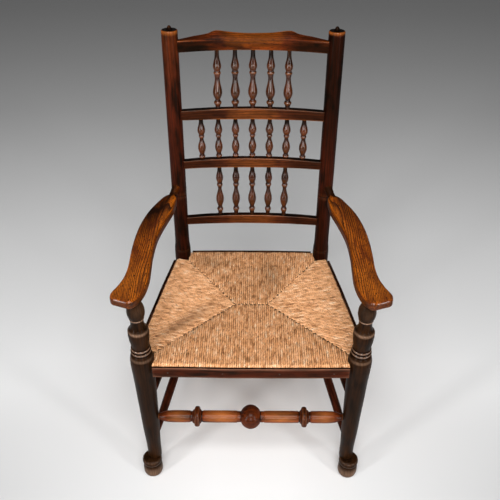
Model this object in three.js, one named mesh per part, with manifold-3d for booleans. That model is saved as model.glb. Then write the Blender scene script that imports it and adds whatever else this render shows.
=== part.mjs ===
import * as THREE from 'three';
import { mergeVertices } from 'three/addons/utils/BufferGeometryUtils.js';
import Module from 'manifold-3d';

// A turned armchair with a spindle back and a rush seat, in millimetres, +Z up.
// X runs across the chair and Y from front to back. Left and right are as seen from the front.
// Until the last lines the origin is on the floor, midway between the two front legs.

// Plan and heights of the frame
const frontLegSpacing = 540.6;
const backPostSpacing = 410.4;
const frameDepth = 420;
const seatTopHeight = 452;
const armTopHeight = 670;

// The back posts stand upright below the seat and lean back above a gentle bend
const backRake = THREE.MathUtils.degToRad(4.1);
const bendStartHeight = 330;
const bendLength = 110;

// Clearance round every joint, length that a cut runs past its piece, and facets round the turnings
const fitGap = 0.3;
const cutOverrun = 2;
const legSides = 12;
const spindleSides = 8;
const stretcherSides = 12;
const nailSides = 6;

// Front leg: one turning from foot to arm, with the foot turned on a centre of its own
const shoulderHeight = 451;
const shoulderRadius = 30;
const footRadius = 26.9;
const footHeight = 69;
const footOut = 7.5;
const footForward = 12;
const armTenonRadius = 9;
const armTenonLength = 14;

// Back post
const postRadius = 20.4;
const collarRadius = 23;
const collarBottomHeight = 400;
const collarTopHeight = 475;
const flareTopHeight = 501;
const postToeRadius = 17.5;
const toeChamfer = 3;
const postTopRounding = 2;
const postTopNubRadius = 6.5;
const postTopNubHeight = 10;

// Back rails: for each its height, its backward bow and the clear height above it, from the lowest up
const railThickness = 18;
const railEdgeRounding = 3;
const railCrown = 4;
const railTenonThickness = 10;
const railTenonDepth = 20;
const railTenonShoulder = 3;
const lowestRailBottom = 559.2;
const railLower = { height: 23.9, bow: 10.5, clearAbove: 154 };
const railMiddle = { height: 23.8, bow: 13, clearAbove: 116.6 };
const railUpper = { height: 26.5, bow: 12, clearAbove: 153.8 };
const crest = { height: 27.2, bow: 18.7, clearAbove: 25, ridgeRise: 18.4 };
const pegRadius = 3.2;
const pegSetIn = 9;
const pegPastMiddle = 9;

// Spindles
const spindlePitch = 45.6;
const spindleRadius = 11.8;
const spindleTenonRadius = 4.5;
const spindleTenonLength = 8;

// Arms
const armThickness = 22;
const armMidWidth = 60;
const armRise = 10;
const armEdgeRounding = 6;
const armNeckRadius = 10;
const armNeckDepth = 16;
const armNeckRise = 26;

// Seat: rails inside the rush, the rush round them, and the strips nailed round its edge
const seatRailWidth = 22;
const seatRailHeight = 22;
const seatRailRounding = 6;
const frontRailForward = 4;
const sideRailOutAtFront = 4.6;
const sideRailInAtPost = 1.4;
const seatTenonRadius = 7;
const seatTenonDepth = 14;
const rushWrap = 4.2;
const rushEdgeDrop = 6;
const rushSeamDepth = 5;
const rushCrownReach = 90;
const centreSeamLength = 88;
const centreSeamY = 212;
const seatBow = 3.5;
const stripThickness = 6.5;
const stripHeight = 33;
const stripTopBelowSeat = 3.5;
const stripRounding = 1.5;
const stripEndFromAxis = 27;
const nailRadius = 1.1;
const nailLength = 21;

// Stretchers
const stretcherDepth = 16;
const frontStretcher = { height: 230, shaft: 15.6, end: 8.5 };
const stretcherBallRadius = 31.8;
const stretcherBallHalfWidth = 29.3;
const stretcherRingRadius = 27;
const stretcherRingHalfWidth = 6.5;
const stretcherRingFromCentre = 143;
const sideStretcherUpper = { height: 281, shaft: 12, end: 8 };
const sideStretcherLower = { height: 124, shaft: 12.6, end: 8 };
const rearStretcher = { height: 200, shaft: 12.6, end: 8 };

const wasm = await Module();
wasm.setup();

// Finishes
const darkWood = new THREE.MeshStandardMaterial({ color: 0x2b170f, roughness: 0.4 });
const goldenWood = new THREE.MeshStandardMaterial({ color: 0x7a3d12, roughness: 0.4 });
const spindleWood = new THREE.MeshStandardMaterial({ color: 0x4a2014, roughness: 0.35 });
const stripWood = new THREE.MeshStandardMaterial({ color: 0x3a1c12, roughness: 0.5 });
const innerWood = new THREE.MeshStandardMaterial({ color: 0x6b4a2c, roughness: 0.7 });
const rush = new THREE.MeshStandardMaterial({ color: 0xdba871, roughness: 0.9 });
const iron = new THREE.MeshStandardMaterial({ color: 0x2a2624, roughness: 0.6, metalness: 0.8 });

const chair = new THREE.Group();
const back = new THREE.Group();
chair.add(back);

function addPiece(name, geometry, material, group = chair) {
  const piece = new THREE.Mesh(joined(geometry), material.clone());
  piece.name = name;
  group.add(piece);
  return piece;
}

// Joining and cutting

// Six times the volume inside a closed indexed mesh, negative where its faces point inwards
function signedVolume(points, corners) {
  const [a, b, c] = [new THREE.Vector3(), new THREE.Vector3(), new THREE.Vector3()];
  let sum = 0;
  for (let i = 0; i < corners.length; i += 3) {
    [a, b, c].forEach((vertex, k) => vertex.fromBufferAttribute(points, corners[i + k]));
    sum += a.dot(b.cross(c));
  }
  return sum;
}

function toSolid(geometry) {
  const bare = geometry.clone();
  bare.deleteAttribute('normal');
  bare.deleteAttribute('uv');
  const merged = mergeVertices(bare);
  const corners = [];
  for (let i = 0; i < merged.index.count; i += 3) {
    const [a, b, c] = [0, 1, 2].map((k) => merged.index.getX(i + k));
    if (a !== b && b !== c && c !== a) corners.push(a, b, c);
  }
  if (signedVolume(merged.attributes.position, corners) < 0) corners.reverse();
  const vertProperties = Float32Array.from(merged.attributes.position.array);
  const triVerts = Uint32Array.from(corners);
  return new wasm.Manifold(new wasm.Mesh({ numProp: 3, vertProperties, triVerts }));
}

function toGeometry(solid) {
  const mesh = solid.getMesh();
  const geometry = new THREE.BufferGeometry();
  geometry.setAttribute('position', new THREE.BufferAttribute(mesh.vertProperties, 3));
  geometry.setIndex(new THREE.BufferAttribute(mesh.triVerts, 1));
  geometry.computeVertexNormals();
  return geometry;
}

function joined(...geometries) {
  return toGeometry(geometries.map(toSolid).reduce((sum, solid) => sum.add(solid)));
}

function cut(geometry, ...tools) {
  return toGeometry(tools.map(toSolid).reduce((left, tool) => left.subtract(tool), toSolid(geometry)));
}

// A turning along +Z through [height, radius] points, closed on its axis at both ends
function turned(points, sides) {
  const first = points[0][0];
  const last = points[points.length - 1][0];
  const outline = [[first, 0], ...points, [last, 0]];
  const profile = outline.map(([height, radius]) => new THREE.Vector2(radius, height));
  return new THREE.LatheGeometry(profile, sides).rotateX(Math.PI / 2);
}

// Places a turning that starts at the origin so that it runs from one point towards another
function aimed(geometry, from, to) {
  const turn = new THREE.Quaternion();
  turn.setFromUnitVectors(new THREE.Vector3(0, 0, 1), to.clone().sub(from).normalize());
  return geometry.applyQuaternion(turn).translate(from.x, from.y, from.z);
}

function rod(from, to, radius, sides, overrun = 0) {
  const length = from.distanceTo(to);
  return aimed(turned([[-overrun, radius], [length + overrun, radius]], sides), from, to);
}

function block(low, high) {
  const size = high.clone().sub(low);
  const centre = low.clone().add(high).multiplyScalar(0.5);
  return new THREE.BoxGeometry(size.x, size.y, size.z).translate(centre.x, centre.y, centre.z);
}

// A solid through matching rings of points, with a fan over each end
function loft(rings) {
  const count = rings[0].length;
  const index = [];
  for (let i = 0; i + 1 < rings.length; i += 1) {
    for (let k = 0; k < count; k += 1) {
      const a = i * count + k;
      const b = i * count + ((k + 1) % count);
      index.push(a, b, b + count, a, b + count, a + count);
    }
  }
  const lastRing = (rings.length - 1) * count;
  for (let k = 1; k + 1 < count; k += 1) {
    index.push(0, k + 1, k);
    index.push(lastRing, lastRing + k, lastRing + k + 1);
  }
  const geometry = new THREE.BufferGeometry().setFromPoints(rings.flat());
  geometry.setIndex(index);
  return geometry;
}

// A rounded rectangle between two corners, as [across, up] points that run anticlockwise
function roundedSection(left, bottom, right, top, rounding, steps = 2) {
  const centres = [
    [right - rounding, bottom + rounding, -Math.PI / 2],
    [right - rounding, top - rounding, 0],
    [left + rounding, top - rounding, Math.PI / 2],
    [left + rounding, bottom + rounding, Math.PI],
  ];
  return centres.flatMap(([across, up, start]) => Array.from({ length: steps + 1 }, (_, i) => {
    const angle = start + (i / steps) * (Math.PI / 2);
    return [across + rounding * Math.cos(angle), up + rounding * Math.sin(angle)];
  }));
}

// Where the back posts run

// The rails of the back stand one above the other, and the posts end above the crest
const postTopHeight = [railLower, railMiddle, railUpper, crest].reduce((bottom, rail) => {
  rail.bottom = bottom;
  return bottom + rail.height + rail.clearAbove;
}, lowestRailBottom);

const bendRadius = bendLength / backRake;
const bendTopHeight = bendStartHeight + bendRadius * Math.sin(backRake);
const bendSetback = bendRadius * (1 - Math.cos(backRake));
back.position.set(0, frameDepth + bendSetback, bendTopHeight);
back.rotation.x = -backRake;
back.updateMatrix();

// Distance up the leaning part of a post, from the top of the bend, of a height above the floor
function upBack(height) {
  return (height - bendTopHeight) / Math.cos(backRake);
}

function postAxisAt(height) {
  const above = Math.max(0, height - bendTopHeight) * Math.tan(backRake);
  const angle = Math.asin(Math.min(Math.max(0, height - bendStartHeight) / bendRadius, Math.sin(backRake)));
  return frameDepth + bendRadius * (1 - Math.cos(angle)) + above;
}

// Bends an upright turning so that what is above the bend leans back
function bendBack(geometry) {
  const points = geometry.attributes.position;
  for (let i = 0; i < points.count; i += 1) {
    const along = points.getZ(i);
    const angle = THREE.MathUtils.clamp((along - bendStartHeight) / bendLength, 0, 1) * backRake;
    const above = Math.max(0, along - bendStartHeight - bendLength);
    const straight = Math.min(along, bendStartHeight);
    const axisY = bendRadius * (1 - Math.cos(angle)) + above * Math.sin(backRake);
    const axisZ = straight + bendRadius * Math.sin(angle) + above * Math.cos(backRake);
    const out = points.getY(i);
    points.setY(i, axisY + out * Math.cos(angle));
    points.setZ(i, axisZ - out * Math.sin(angle));
  }
  return geometry;
}

// Shapes that the joints share: the legs and posts, and cutters that scribe pieces to them

const armUnderHeight = armTopHeight - armThickness;
const supportLength = armUnderHeight - fitGap - shoulderHeight;

// [height, radius] as shares of the shoulder's height and radius
const shankShares = [
  [0.115, 0.47], [0.133, 0.6], [0.155, 0.63], [0.213, 0.633], [0.395, 0.733], [0.663, 0.843],
  [0.887, 0.94], [0.953, 0.987],
];
// [height above the shoulder, radius] as shares of the support's length and the shoulder's radius
const supportShares = [
  [0, 1], [0.09, 0.92], [0.125, 0.845], [0.14, 0.755], [0.165, 0.83], [0.19, 0.82], [0.205, 0.74],
  [0.225, 0.785], [0.243, 0.765], [0.257, 0.705], [0.335, 0.78], [0.42, 0.85], [0.477, 0.86], [0.53, 0.835],
  [0.555, 0.69], [0.594, 0.587], [0.66, 0.535], [0.72, 0.545], [0.75, 0.63], [0.79, 0.705], [0.835, 0.715],
  [0.89, 0.675], [0.944, 0.56], [1, 0.473],
];
// [height, radius] as shares of the foot's height and radius
const footShares = [
  [0, 0.67], [0.06, 0.87], [0.2, 0.985], [0.435, 0.99], [0.667, 0.877], [0.72, 0.94], [0.8, 1],
  [0.9, 0.975], [0.97, 0.855], [1, 0.706],
];

function shankPoints(gap) {
  return shankShares.map(([up, out]) => [up * shoulderHeight, out * shoulderRadius + gap]);
}

function supportPoints(gap) {
  return supportShares.map(([up, out]) => [shoulderHeight + up * supportLength, out * shoulderRadius + gap]);
}

function legPoints(gap) {
  return [...shankPoints(gap), ...supportPoints(gap)];
}

function legRadiusAt(height) {
  const points = legPoints(0);
  const above = Math.max(1, points.findIndex(([up]) => up >= height));
  const [lowUp, lowOut] = points[above - 1];
  const [highUp, highOut] = points[above];
  return THREE.MathUtils.mapLinear(height, lowUp, highUp, lowOut, highOut);
}

function postPoints(gap) {
  const straightTop = bendStartHeight + bendLength;
  return [
    [0, postToeRadius - toeChamfer + gap],
    [toeChamfer, postToeRadius + gap],
    [bendStartHeight, postRadius + gap],
    [collarBottomHeight, collarRadius + gap],
    [straightTop, collarRadius + gap],
    [straightTop + upBack(collarTopHeight), collarRadius + gap],
    [straightTop + upBack(flareTopHeight), postRadius + gap],
    [straightTop + upBack(postTopHeight) - postTopRounding, postRadius + gap],
    [straightTop + upBack(postTopHeight), postRadius - postTopRounding + gap],
  ];
}

const legX = frontLegSpacing / 2;
const postX = backPostSpacing / 2;
const sides = [['left', -1], ['right', 1]];

function legCutters() {
  return sides.map(([, side]) => turned(legPoints(fitGap), legSides).translate(side * legX, 0, 0));
}

function postCutters() {
  return sides.map(([, side]) => (
    bendBack(turned(postPoints(fitGap), legSides)).translate(side * postX, frameDepth, 0)
  ));
}

// The straight part of a post above the bend, seen from the leaning back
function leaningPostCutters() {
  const reach = upBack(postTopHeight);
  return sides.map(([, side]) => (
    turned([[0, postRadius + fitGap], [reach, postRadius + fitGap]], legSides).translate(side * postX, 0, 0)
  ));
}

// Seat rails, between the axes of the legs that they join

const seatRailCentre = seatTopHeight - rushWrap - seatRailHeight / 2;
const postSeatY = postAxisAt(seatRailCentre);
const corner = {
  frontLeft: new THREE.Vector3(-legX, -frontRailForward, seatRailCentre),
  frontRight: new THREE.Vector3(legX, -frontRailForward, seatRailCentre),
  sideFrontLeft: new THREE.Vector3(-legX - sideRailOutAtFront, 0, seatRailCentre),
  sideFrontRight: new THREE.Vector3(legX + sideRailOutAtFront, 0, seatRailCentre),
  rearLeft: new THREE.Vector3(-postX, postSeatY, seatRailCentre),
  rearRight: new THREE.Vector3(postX, postSeatY, seatRailCentre),
  sideRearLeft: new THREE.Vector3(sideRailInAtPost - postX, postSeatY, seatRailCentre),
  sideRearRight: new THREE.Vector3(postX - sideRailInAtPost, postSeatY, seatRailCentre),
};
const legSeatRadius = legRadiusAt(seatRailCentre);

// Each side of the seat runs so that the outside of the chair is on its right
function seatSide(from, to, fromRadius, toRadius) {
  return { from, to, fromRadius, toRadius };
}
const [frontRadius, rearRadius] = [legSeatRadius, collarRadius];
const seatSides = {
  front: seatSide(corner.frontLeft, corner.frontRight, frontRadius, frontRadius),
  right: seatSide(corner.sideFrontRight, corner.sideRearRight, frontRadius, rearRadius),
  rear: seatSide(corner.rearRight, corner.rearLeft, rearRadius, rearRadius),
  left: seatSide(corner.sideRearLeft, corner.sideFrontLeft, rearRadius, frontRadius),
};

function sideFrame({ from, to }) {
  const along = to.clone().sub(from).normalize();
  const outward = new THREE.Vector3(along.y, -along.x, 0);
  return { along, outward, length: from.distanceTo(to) };
}

// A point at a share of a seat side's length, pushed outward by a distance and raised
function seatPoint(side, share, out, up) {
  const { along, outward, length } = sideFrame(side);
  return side.from.clone().addScaledVector(along, share * length).addScaledVector(outward, out)
    .add(new THREE.Vector3(0, 0, up));
}

function bowAt(share) {
  return seatBow * 4 * share * (1 - share);
}

function seatRailBody(side, gap) {
  const halfWidth = seatRailWidth / 2 + gap;
  const halfHeight = seatRailHeight / 2 + gap;
  const section = roundedSection(-halfWidth, -halfHeight, halfWidth, halfHeight, seatRailRounding);
  return loft([0, 1].map((share) => section.map(([out, up]) => seatPoint(side, share, -out, up))));
}

function seatTenons(side, gap) {
  const { length } = sideFrame(side);
  const ends = [[0, side.fromRadius], [1, side.toRadius]];
  return ends.map(([end, radius]) => {
    const inward = end === 0 ? 1 : -1;
    const root = seatPoint(side, end + inward * ((radius + seatTenonDepth) / length), 0, 0);
    const tip = seatPoint(side, end + inward * ((radius - seatTenonDepth - gap) / length), 0, 0);
    return rod(root, tip, seatTenonRadius + gap, spindleSides);
  });
}

// Nails through each strip and the rush into the rail, as shares of the side's length
const nailShares = {
  front: [0.12, 0.37, 0.63, 0.88],
  right: [0.2, 0.8],
  rear: [0.2, 0.5, 0.8],
  left: [0.2, 0.8],
};

const stripOut = seatRailWidth / 2 + rushWrap + fitGap;
const nailDrop = stripTopBelowSeat + stripHeight / 2 - (rushWrap + seatRailHeight / 2);

function nailsOf(name, gap) {
  const side = seatSides[name];
  const set = gap > 0 ? gap : -stripRounding / 2;
  return nailShares[name].map((share) => {
    const face = bowAt(share) + stripOut + stripThickness;
    const head = seatPoint(side, share, face + set, -nailDrop);
    const point = seatPoint(side, share, face - nailLength - gap, -nailDrop);
    return rod(head, point, nailRadius + gap, nailSides);
  });
}

for (const [name, side] of Object.entries(seatSides)) {
  const body = cut(seatRailBody(side, 0), ...legCutters(), ...postCutters());
  const rail = cut(joined(body, ...seatTenons(side, 0)), ...nailsOf(name, fitGap));
  addPiece(`seat_rail_${name}`, rail, innerWood);
}

// Edging strips

function edgingStrip(name) {
  const side = seatSides[name];
  const top = rushWrap + seatRailHeight / 2 - stripTopBelowSeat;
  const face = stripOut + stripThickness;
  const section = roundedSection(stripOut, top - stripHeight, face, top, stripRounding, 1);
  const steps = 8;
  const endShare = stripEndFromAxis / sideFrame(side).length;
  const rings = Array.from({ length: steps + 1 }, (_, i) => {
    const share = THREE.MathUtils.lerp(endShare, 1 - endShare, i / steps);
    return section.map(([out, up]) => seatPoint(side, share, out + bowAt(share), up));
  });
  return cut(loft(rings), ...legCutters(), ...postCutters(), ...nailsOf(name, fitGap));
}

for (const name of Object.keys(seatSides)) {
  addPiece(`edging_strip_${name}`, edgingStrip(name), stripWood);
  nailsOf(name, 0).forEach((nail, i) => addPiece(`strip_nail_${name}_${i + 1}`, nail, iron));
}

// Rush seat: four woven panels that meet in sunk seams, wrapped round the four rails

const rushOut = seatRailWidth / 2 + rushWrap;

// Where the outer edges of two neighbouring sides of the rush would meet
function rushCorner(sideA, sideB) {
  const a = seatPoint(sideA, 0, rushOut, 0);
  const b = seatPoint(sideB, 0, rushOut, 0);
  const u = sideFrame(sideA).along;
  const v = sideFrame(sideB).along;
  const t = ((b.x - a.x) * v.y - (b.y - a.y) * v.x) / (u.x * v.y - u.y * v.x);
  return a.addScaledVector(u, t);
}

// Shares of the way along a strand, from the edge of the seat to the seam
const strandShares = [0, 0.05, 0.4, 0.8, 1];
const [, edgeShare, crownShare] = strandShares;

// How far the rush lies below its crown at a share of a strand of some length
function rushDip(share, strandLength) {
  const fullness = Math.min(1, strandLength / rushCrownReach);
  const edgeDip = Math.max(0, 1 - share / edgeShare) ** 2 * rushEdgeDrop;
  const seamDip = Math.max(0, (share - crownShare) / (1 - crownShare)) ** 2 * rushSeamDepth;
  return fullness * (edgeDip + seamDip) + (1 - fullness) * Math.max(edgeDip, rushSeamDepth);
}

// One strand from the edge to the seam, each point as a pair on the top and the underside
function rushStrand(side, edgeLine, seamPoint, across) {
  const { along, outward, length } = sideFrame(side);
  const [start, end] = [edgeLine.start[across], edgeLine.end[across]];
  const edge = edgeLine.at((seamPoint[across] - start) / (end - start), new THREE.Vector3());
  const alongSide = edge.clone().sub(side.from).dot(along) / length;
  edge.addScaledVector(outward, bowAt(THREE.MathUtils.clamp(alongSide, 0, 1)));
  const halfThickness = seatRailHeight / 2 + rushWrap;
  return strandShares.map((t) => {
    const point = edge.clone().lerp(seamPoint, t);
    const up = halfThickness - rushDip(t, edge.distanceTo(seamPoint));
    return { top: point.clone().setZ(seatRailCentre + up), under: point.clone().setZ(seatRailCentre - up) };
  });
}

function rushPad() {
  const { front, right, rear, left } = seatSides;
  const [frontLeft, frontRight] = [rushCorner(front, left), rushCorner(front, right)];
  const [rearLeft, rearRight] = [rushCorner(rear, left), rushCorner(rear, right)];
  const seamLeft = new THREE.Vector3(-centreSeamLength / 2, centreSeamY, seatRailCentre);
  const seamRight = new THREE.Vector3(centreSeamLength / 2, centreSeamY, seatRailCentre);
  const panels = [
    { side: front, seam: [frontLeft, seamLeft, seamRight, frontRight], across: 'x' },
    { side: right, seam: [frontRight, seamRight, rearRight], across: 'y' },
    { side: rear, seam: [rearRight, seamRight, seamLeft, rearLeft], across: 'x' },
    { side: left, seam: [rearLeft, seamLeft, frontLeft], across: 'y' },
  ];
  const [seamSteps, centreSeamSteps] = [4, 2];
  const positions = [];
  const addQuad = (a, b, c, d) => positions.push(a, b, c, a, c, d);
  for (const { side, seam, across } of panels) {
    const edgeLine = new THREE.Line3(seam[0], seam[seam.length - 1]);
    const seamPoints = [seam[0]];
    for (let i = 0; i + 1 < seam.length; i += 1) {
      const steps = i === 1 && seam.length > 3 ? centreSeamSteps : seamSteps;
      for (let k = 1; k <= steps; k += 1) seamPoints.push(seam[i].clone().lerp(seam[i + 1], k / steps));
    }
    const strands = seamPoints.map((point) => rushStrand(side, edgeLine, point, across));
    for (let i = 0; i + 1 < strands.length; i += 1) {
      const [one, two] = [strands[i], strands[i + 1]];
      for (let k = 0; k + 1 < strandShares.length; k += 1) {
        addQuad(one[k].top, two[k].top, two[k + 1].top, one[k + 1].top);
        addQuad(one[k].under, one[k + 1].under, two[k + 1].under, two[k].under);
      }
      addQuad(one[0].under, two[0].under, two[0].top, one[0].top);
    }
  }
  return new THREE.BufferGeometry().setFromPoints(positions);
}

// The rush stops at the legs, so what would lie beyond a leg's axis is cut away
function rushCornerBlocks() {
  const reach = shoulderRadius + footRadius;
  const places = sides.flatMap(([, side]) => [
    [side * legX, 0, side, -1],
    [side * postX, postSeatY, side, 1],
  ]);
  return places.map(([x, y, outX, outY]) => {
    const near = new THREE.Vector3(x, y, 0);
    const far = new THREE.Vector3(x + outX * reach, y + outY * reach, seatTopHeight + reach);
    return block(near.clone().min(far), near.clone().max(far));
  });
}

{
  const tunnels = Object.values(seatSides).map((side) => seatRailBody(side, fitGap));
  const nails = Object.keys(seatSides).flatMap((name) => nailsOf(name, fitGap));
  const seat = cut(rushPad(), ...tunnels, ...legCutters(), ...postCutters(), ...rushCornerBlocks(), ...nails);
  addPiece('rush_seat', seat, rush);
}

// Stretchers

// [distance from the middle, radius]: shares of half the length and the shaft's radius, for a plain swelling
const swellingShares = [[0, 1], [0.35, 0.97], [0.65, 0.89], [0.88, 0.76]];

function plainStretcher(from, to, { shaft, end }) {
  const length = from.distanceTo(to);
  const freeLength = length - 2 * (stretcherDepth + cutOverrun);
  const half = swellingShares.map(([along, radius]) => [(along * freeLength) / 2, radius * shaft]);
  half.push([freeLength / 2, end], [length / 2, end]);
  const ends = half.slice(1).reverse().map(([along, radius]) => [-along, radius]);
  const points = [...ends, ...half].map(([along, radius]) => [along + length / 2, radius]);
  return aimed(turned(points, stretcherSides), from, to);
}

// Where a stretcher between two upright axes stops inside them
function stretcherEnds(from, to, fromRadius, toRadius) {
  const along = to.clone().sub(from).normalize();
  const inset = (radius) => radius - stretcherDepth;
  return [
    from.clone().addScaledVector(along, inset(fromRadius)),
    to.clone().addScaledVector(along, -inset(toRadius)),
  ];
}

// The hole for each end of a stretcher
function stretcherHoles([from, to], { end }) {
  const along = to.clone().sub(from).normalize();
  const reach = stretcherDepth + cutOverrun;
  return [[from, 1], [to, -1]].map(([tip, inward]) => {
    const bottom = tip.clone().addScaledVector(along, -inward * fitGap);
    const mouth = tip.clone().addScaledVector(along, inward * reach);
    return rod(bottom, mouth, end + fitGap, stretcherSides);
  });
}

function postRadiusAt(height) {
  return THREE.MathUtils.mapLinear(height, 0, bendStartHeight, postToeRadius, postRadius);
}

function sideStretcherEnds(side, { height }) {
  const from = new THREE.Vector3(side * legX, 0, height);
  const to = new THREE.Vector3(side * postX, postAxisAt(height), height);
  return stretcherEnds(from, to, legRadiusAt(height), postRadiusAt(height));
}

function frontStretcherEnds() {
  const [from, to] = sides.map(([, side]) => new THREE.Vector3(side * legX, 0, frontStretcher.height));
  const radius = legRadiusAt(frontStretcher.height);
  return stretcherEnds(from, to, radius, radius);
}

function rearStretcherEnds() {
  const [from, to] = sides.map(([, side]) => (
    new THREE.Vector3(side * postX, postAxisAt(rearStretcher.height), rearStretcher.height)
  ));
  const radius = postRadiusAt(rearStretcher.height);
  return stretcherEnds(from, to, radius, radius);
}

// Half of the turned front stretcher, as shares of each stretch of its length and of the shaft's radius
const shaftEndShares = [[1, 0.545], [0.97, 0.6], [0.85, 0.88], [0.55, 1], [0.12, 0.94]];
const ringSideShares = [[2.2, 0.82], [1.9, 1.1], [1.4, 1.2]];
const shaftMiddleShares = [[0.9, 0.95], [0.5, 1], [0.08, 0.94]];
const ballNeckShare = 0.84;

function frontStretcherHalf(halfLength) {
  const shaft = frontStretcher.shaft;
  const outerLength = halfLength - stretcherDepth - stretcherRingFromCentre;
  const ringOut = stretcherRingFromCentre + stretcherRingHalfWidth;
  const innerLength = stretcherRingFromCentre - stretcherBallHalfWidth;
  const points = [[halfLength, frontStretcher.end]];
  shaftEndShares.forEach(([t, r]) => points.push([stretcherRingFromCentre + t * outerLength, r * shaft]));
  ringSideShares.forEach(([t, r]) => (
    points.push([stretcherRingFromCentre + t * stretcherRingHalfWidth, r * shaft])
  ));
  const rimShares = [[1, 0.86], [0.6, 1], [-0.6, 1], [-1, 0.86]];
  rimShares.forEach(([t, r]) => (
    points.push([stretcherRingFromCentre + t * (ringOut - stretcherRingFromCentre), r * stretcherRingRadius])
  ));
  ringSideShares.slice().reverse().forEach(([t, r]) => (
    points.push([stretcherRingFromCentre - t * stretcherRingHalfWidth, r * shaft])
  ));
  shaftMiddleShares.forEach(([t, r]) => points.push([stretcherBallHalfWidth + t * innerLength, r * shaft]));
  const neck = ballNeckShare * shaft;
  const neckAngle = Math.asin(neck / stretcherBallRadius);
  const ballSteps = 5;
  for (let i = 0; i <= ballSteps; i += 1) {
    const angle = THREE.MathUtils.lerp(neckAngle, Math.PI / 2, i / ballSteps);
    points.push([stretcherBallHalfWidth * Math.cos(angle), stretcherBallRadius * Math.sin(angle)]);
  }
  return points;
}

{
  const [from, to] = frontStretcherEnds();
  const halfLength = from.distanceTo(to) / 2;
  const half = frontStretcherHalf(halfLength);
  const otherHalf = half.slice(0, -1).reverse().map(([along, radius]) => [-along, radius]);
  const points = [...half, ...otherHalf].reverse().map(([along, radius]) => [along + halfLength, radius]);
  addPiece('front_stretcher', aimed(turned(points, stretcherSides), from, to), goldenWood);
  for (const [name, side] of sides) {
    const levels = [['upper', sideStretcherUpper], ['lower', sideStretcherLower]];
    for (const [level, size] of levels) {
      const ends = sideStretcherEnds(side, size);
      addPiece(`side_stretcher_${level}_${name}`, plainStretcher(...ends, size), darkWood);
    }
  }
  addPiece('rear_stretcher', plainStretcher(...rearStretcherEnds(), rearStretcher), darkWood);
}

// Arms: flat boards that curve between the top of the front leg and the back post

// [way from the front leg to the post, sideways from the line between them], as shares of that way
// and of the arm's width in the middle
const armOuterShares = [
  [-0.041, 0.8], [0.005, 0.88], [0.068, 0.75], [0.136, 0.67], [0.227, 0.7], [0.34, 0.84],
  [0.454, 0.955], [0.581, 1.01], [0.688, 0.967], [0.767, 0.86], [0.835, 0.7], [0.889, 0.54], [0.917, 0.34],
];
const armInnerShares = [
  [-0.079, -0.02], [-0.032, -0.27], [0.034, -0.37], [0.125, -0.35], [0.222, -0.23], [0.34, -0.077],
  [0.465, 0.017], [0.572, 0], [0.672, -0.077], [0.76, -0.155], [0.828, -0.14], [0.88, -0.1], [0.908, 0.02],
];
const armPostHeight = armTopHeight + armRise - armThickness / 2;

function armLine(side) {
  return {
    front: new THREE.Vector3(side * legX, 0, 0),
    rear: new THREE.Vector3(side * postX, postAxisAt(armPostHeight), 0),
  };
}

function armEdge(side, shares) {
  const { front, rear } = armLine(side);
  const points = shares.map(([way, out]) => {
    const point = front.clone().lerp(rear, way);
    return new THREE.Vector2(point.x + side * out * armMidWidth, point.y);
  });
  return new THREE.SplineCurve(points);
}

function armBoard(side) {
  const outerEdge = armEdge(side, armOuterShares);
  const innerEdge = armEdge(side, armInnerShares);
  const { rear } = armLine(side);
  const steps = 16;
  const rings = Array.from({ length: steps + 1 }, (_, i) => {
    const outer = outerEdge.getPoint(i / steps);
    const inner = innerEdge.getPoint(i / steps);
    const width = outer.distanceTo(inner);
    const way = Math.max(0, (outer.y + inner.y) / 2 / rear.y);
    const bottom = armTopHeight - armThickness + armRise * way ** 2;
    const section = roundedSection(0, bottom, width, bottom + armThickness, armEdgeRounding);
    return section.map(([across, up]) => {
      const point = inner.clone().lerp(outer, across / width);
      return new THREE.Vector3(point.x, point.y, up);
    });
  });
  return loft(rings);
}

// The round neck that rises from the rear end of an arm into the post
function armNeck(side, gap) {
  const { front, rear } = armLine(side);
  const lastShares = [armOuterShares, armInnerShares].map((shares) => shares[shares.length - 2]);
  const way = (lastShares[0][0] + lastShares[1][0]) / 2;
  const out = (lastShares[0][1] + lastShares[1][1]) / 2;
  const root = front.clone().lerp(rear, way).setZ(armPostHeight + armRise * (way ** 2 - 1));
  root.x += side * out * armMidWidth;
  const tenonHeight = armPostHeight + armNeckRise;
  const axis = new THREE.Vector3(side * postX, postAxisAt(tenonHeight), tenonHeight);
  const along = axis.clone().sub(root).normalize();
  const tip = axis.addScaledVector(along, armNeckDepth + gap - postRadius);
  return rod(root, tip, armNeckRadius + gap, spindleSides);
}

function armTenon(side, gap) {
  const root = new THREE.Vector3(side * legX, 0, armUnderHeight - armTenonLength);
  const tip = new THREE.Vector3(side * legX, 0, armUnderHeight + armTenonLength + gap);
  return rod(root, tip, armTenonRadius + gap, legSides);
}

for (const [name, side] of sides) {
  const arm = cut(joined(armBoard(side), armNeck(side, 0)), armTenon(side, fitGap));
  addPiece(`arm_${name}`, arm, goldenWood);
}

// Front legs

function holesInLeg(side) {
  const { front, right, left } = seatSides;
  return [
    ...seatTenons(front, fitGap),
    ...seatTenons(side < 0 ? left : right, fitGap),
    ...stretcherHoles(frontStretcherEnds(), frontStretcher),
    ...[sideStretcherUpper, sideStretcherLower].flatMap((size) => (
      stretcherHoles(sideStretcherEnds(side, size), size)
    )),
  ];
}

for (const [name, side] of sides) {
  const shaft = turned(legPoints(0), legSides).translate(side * legX, 0, 0);
  const footPoints = footShares.map(([up, out]) => [up * footHeight, out * footRadius]);
  const foot = turned(footPoints, legSides).translate(side * (legX + footOut), -footForward, 0);
  const leg = cut(joined(shaft, foot, armTenon(side, 0)), ...holesInLeg(side));
  addPiece(`front_leg_${name}`, leg, darkWood);
}

// Back rails and crest, in the leaning back, whose origin is on the axes of the posts at the top of the bend

const clearHalfWidth = postX - postRadius;

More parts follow.
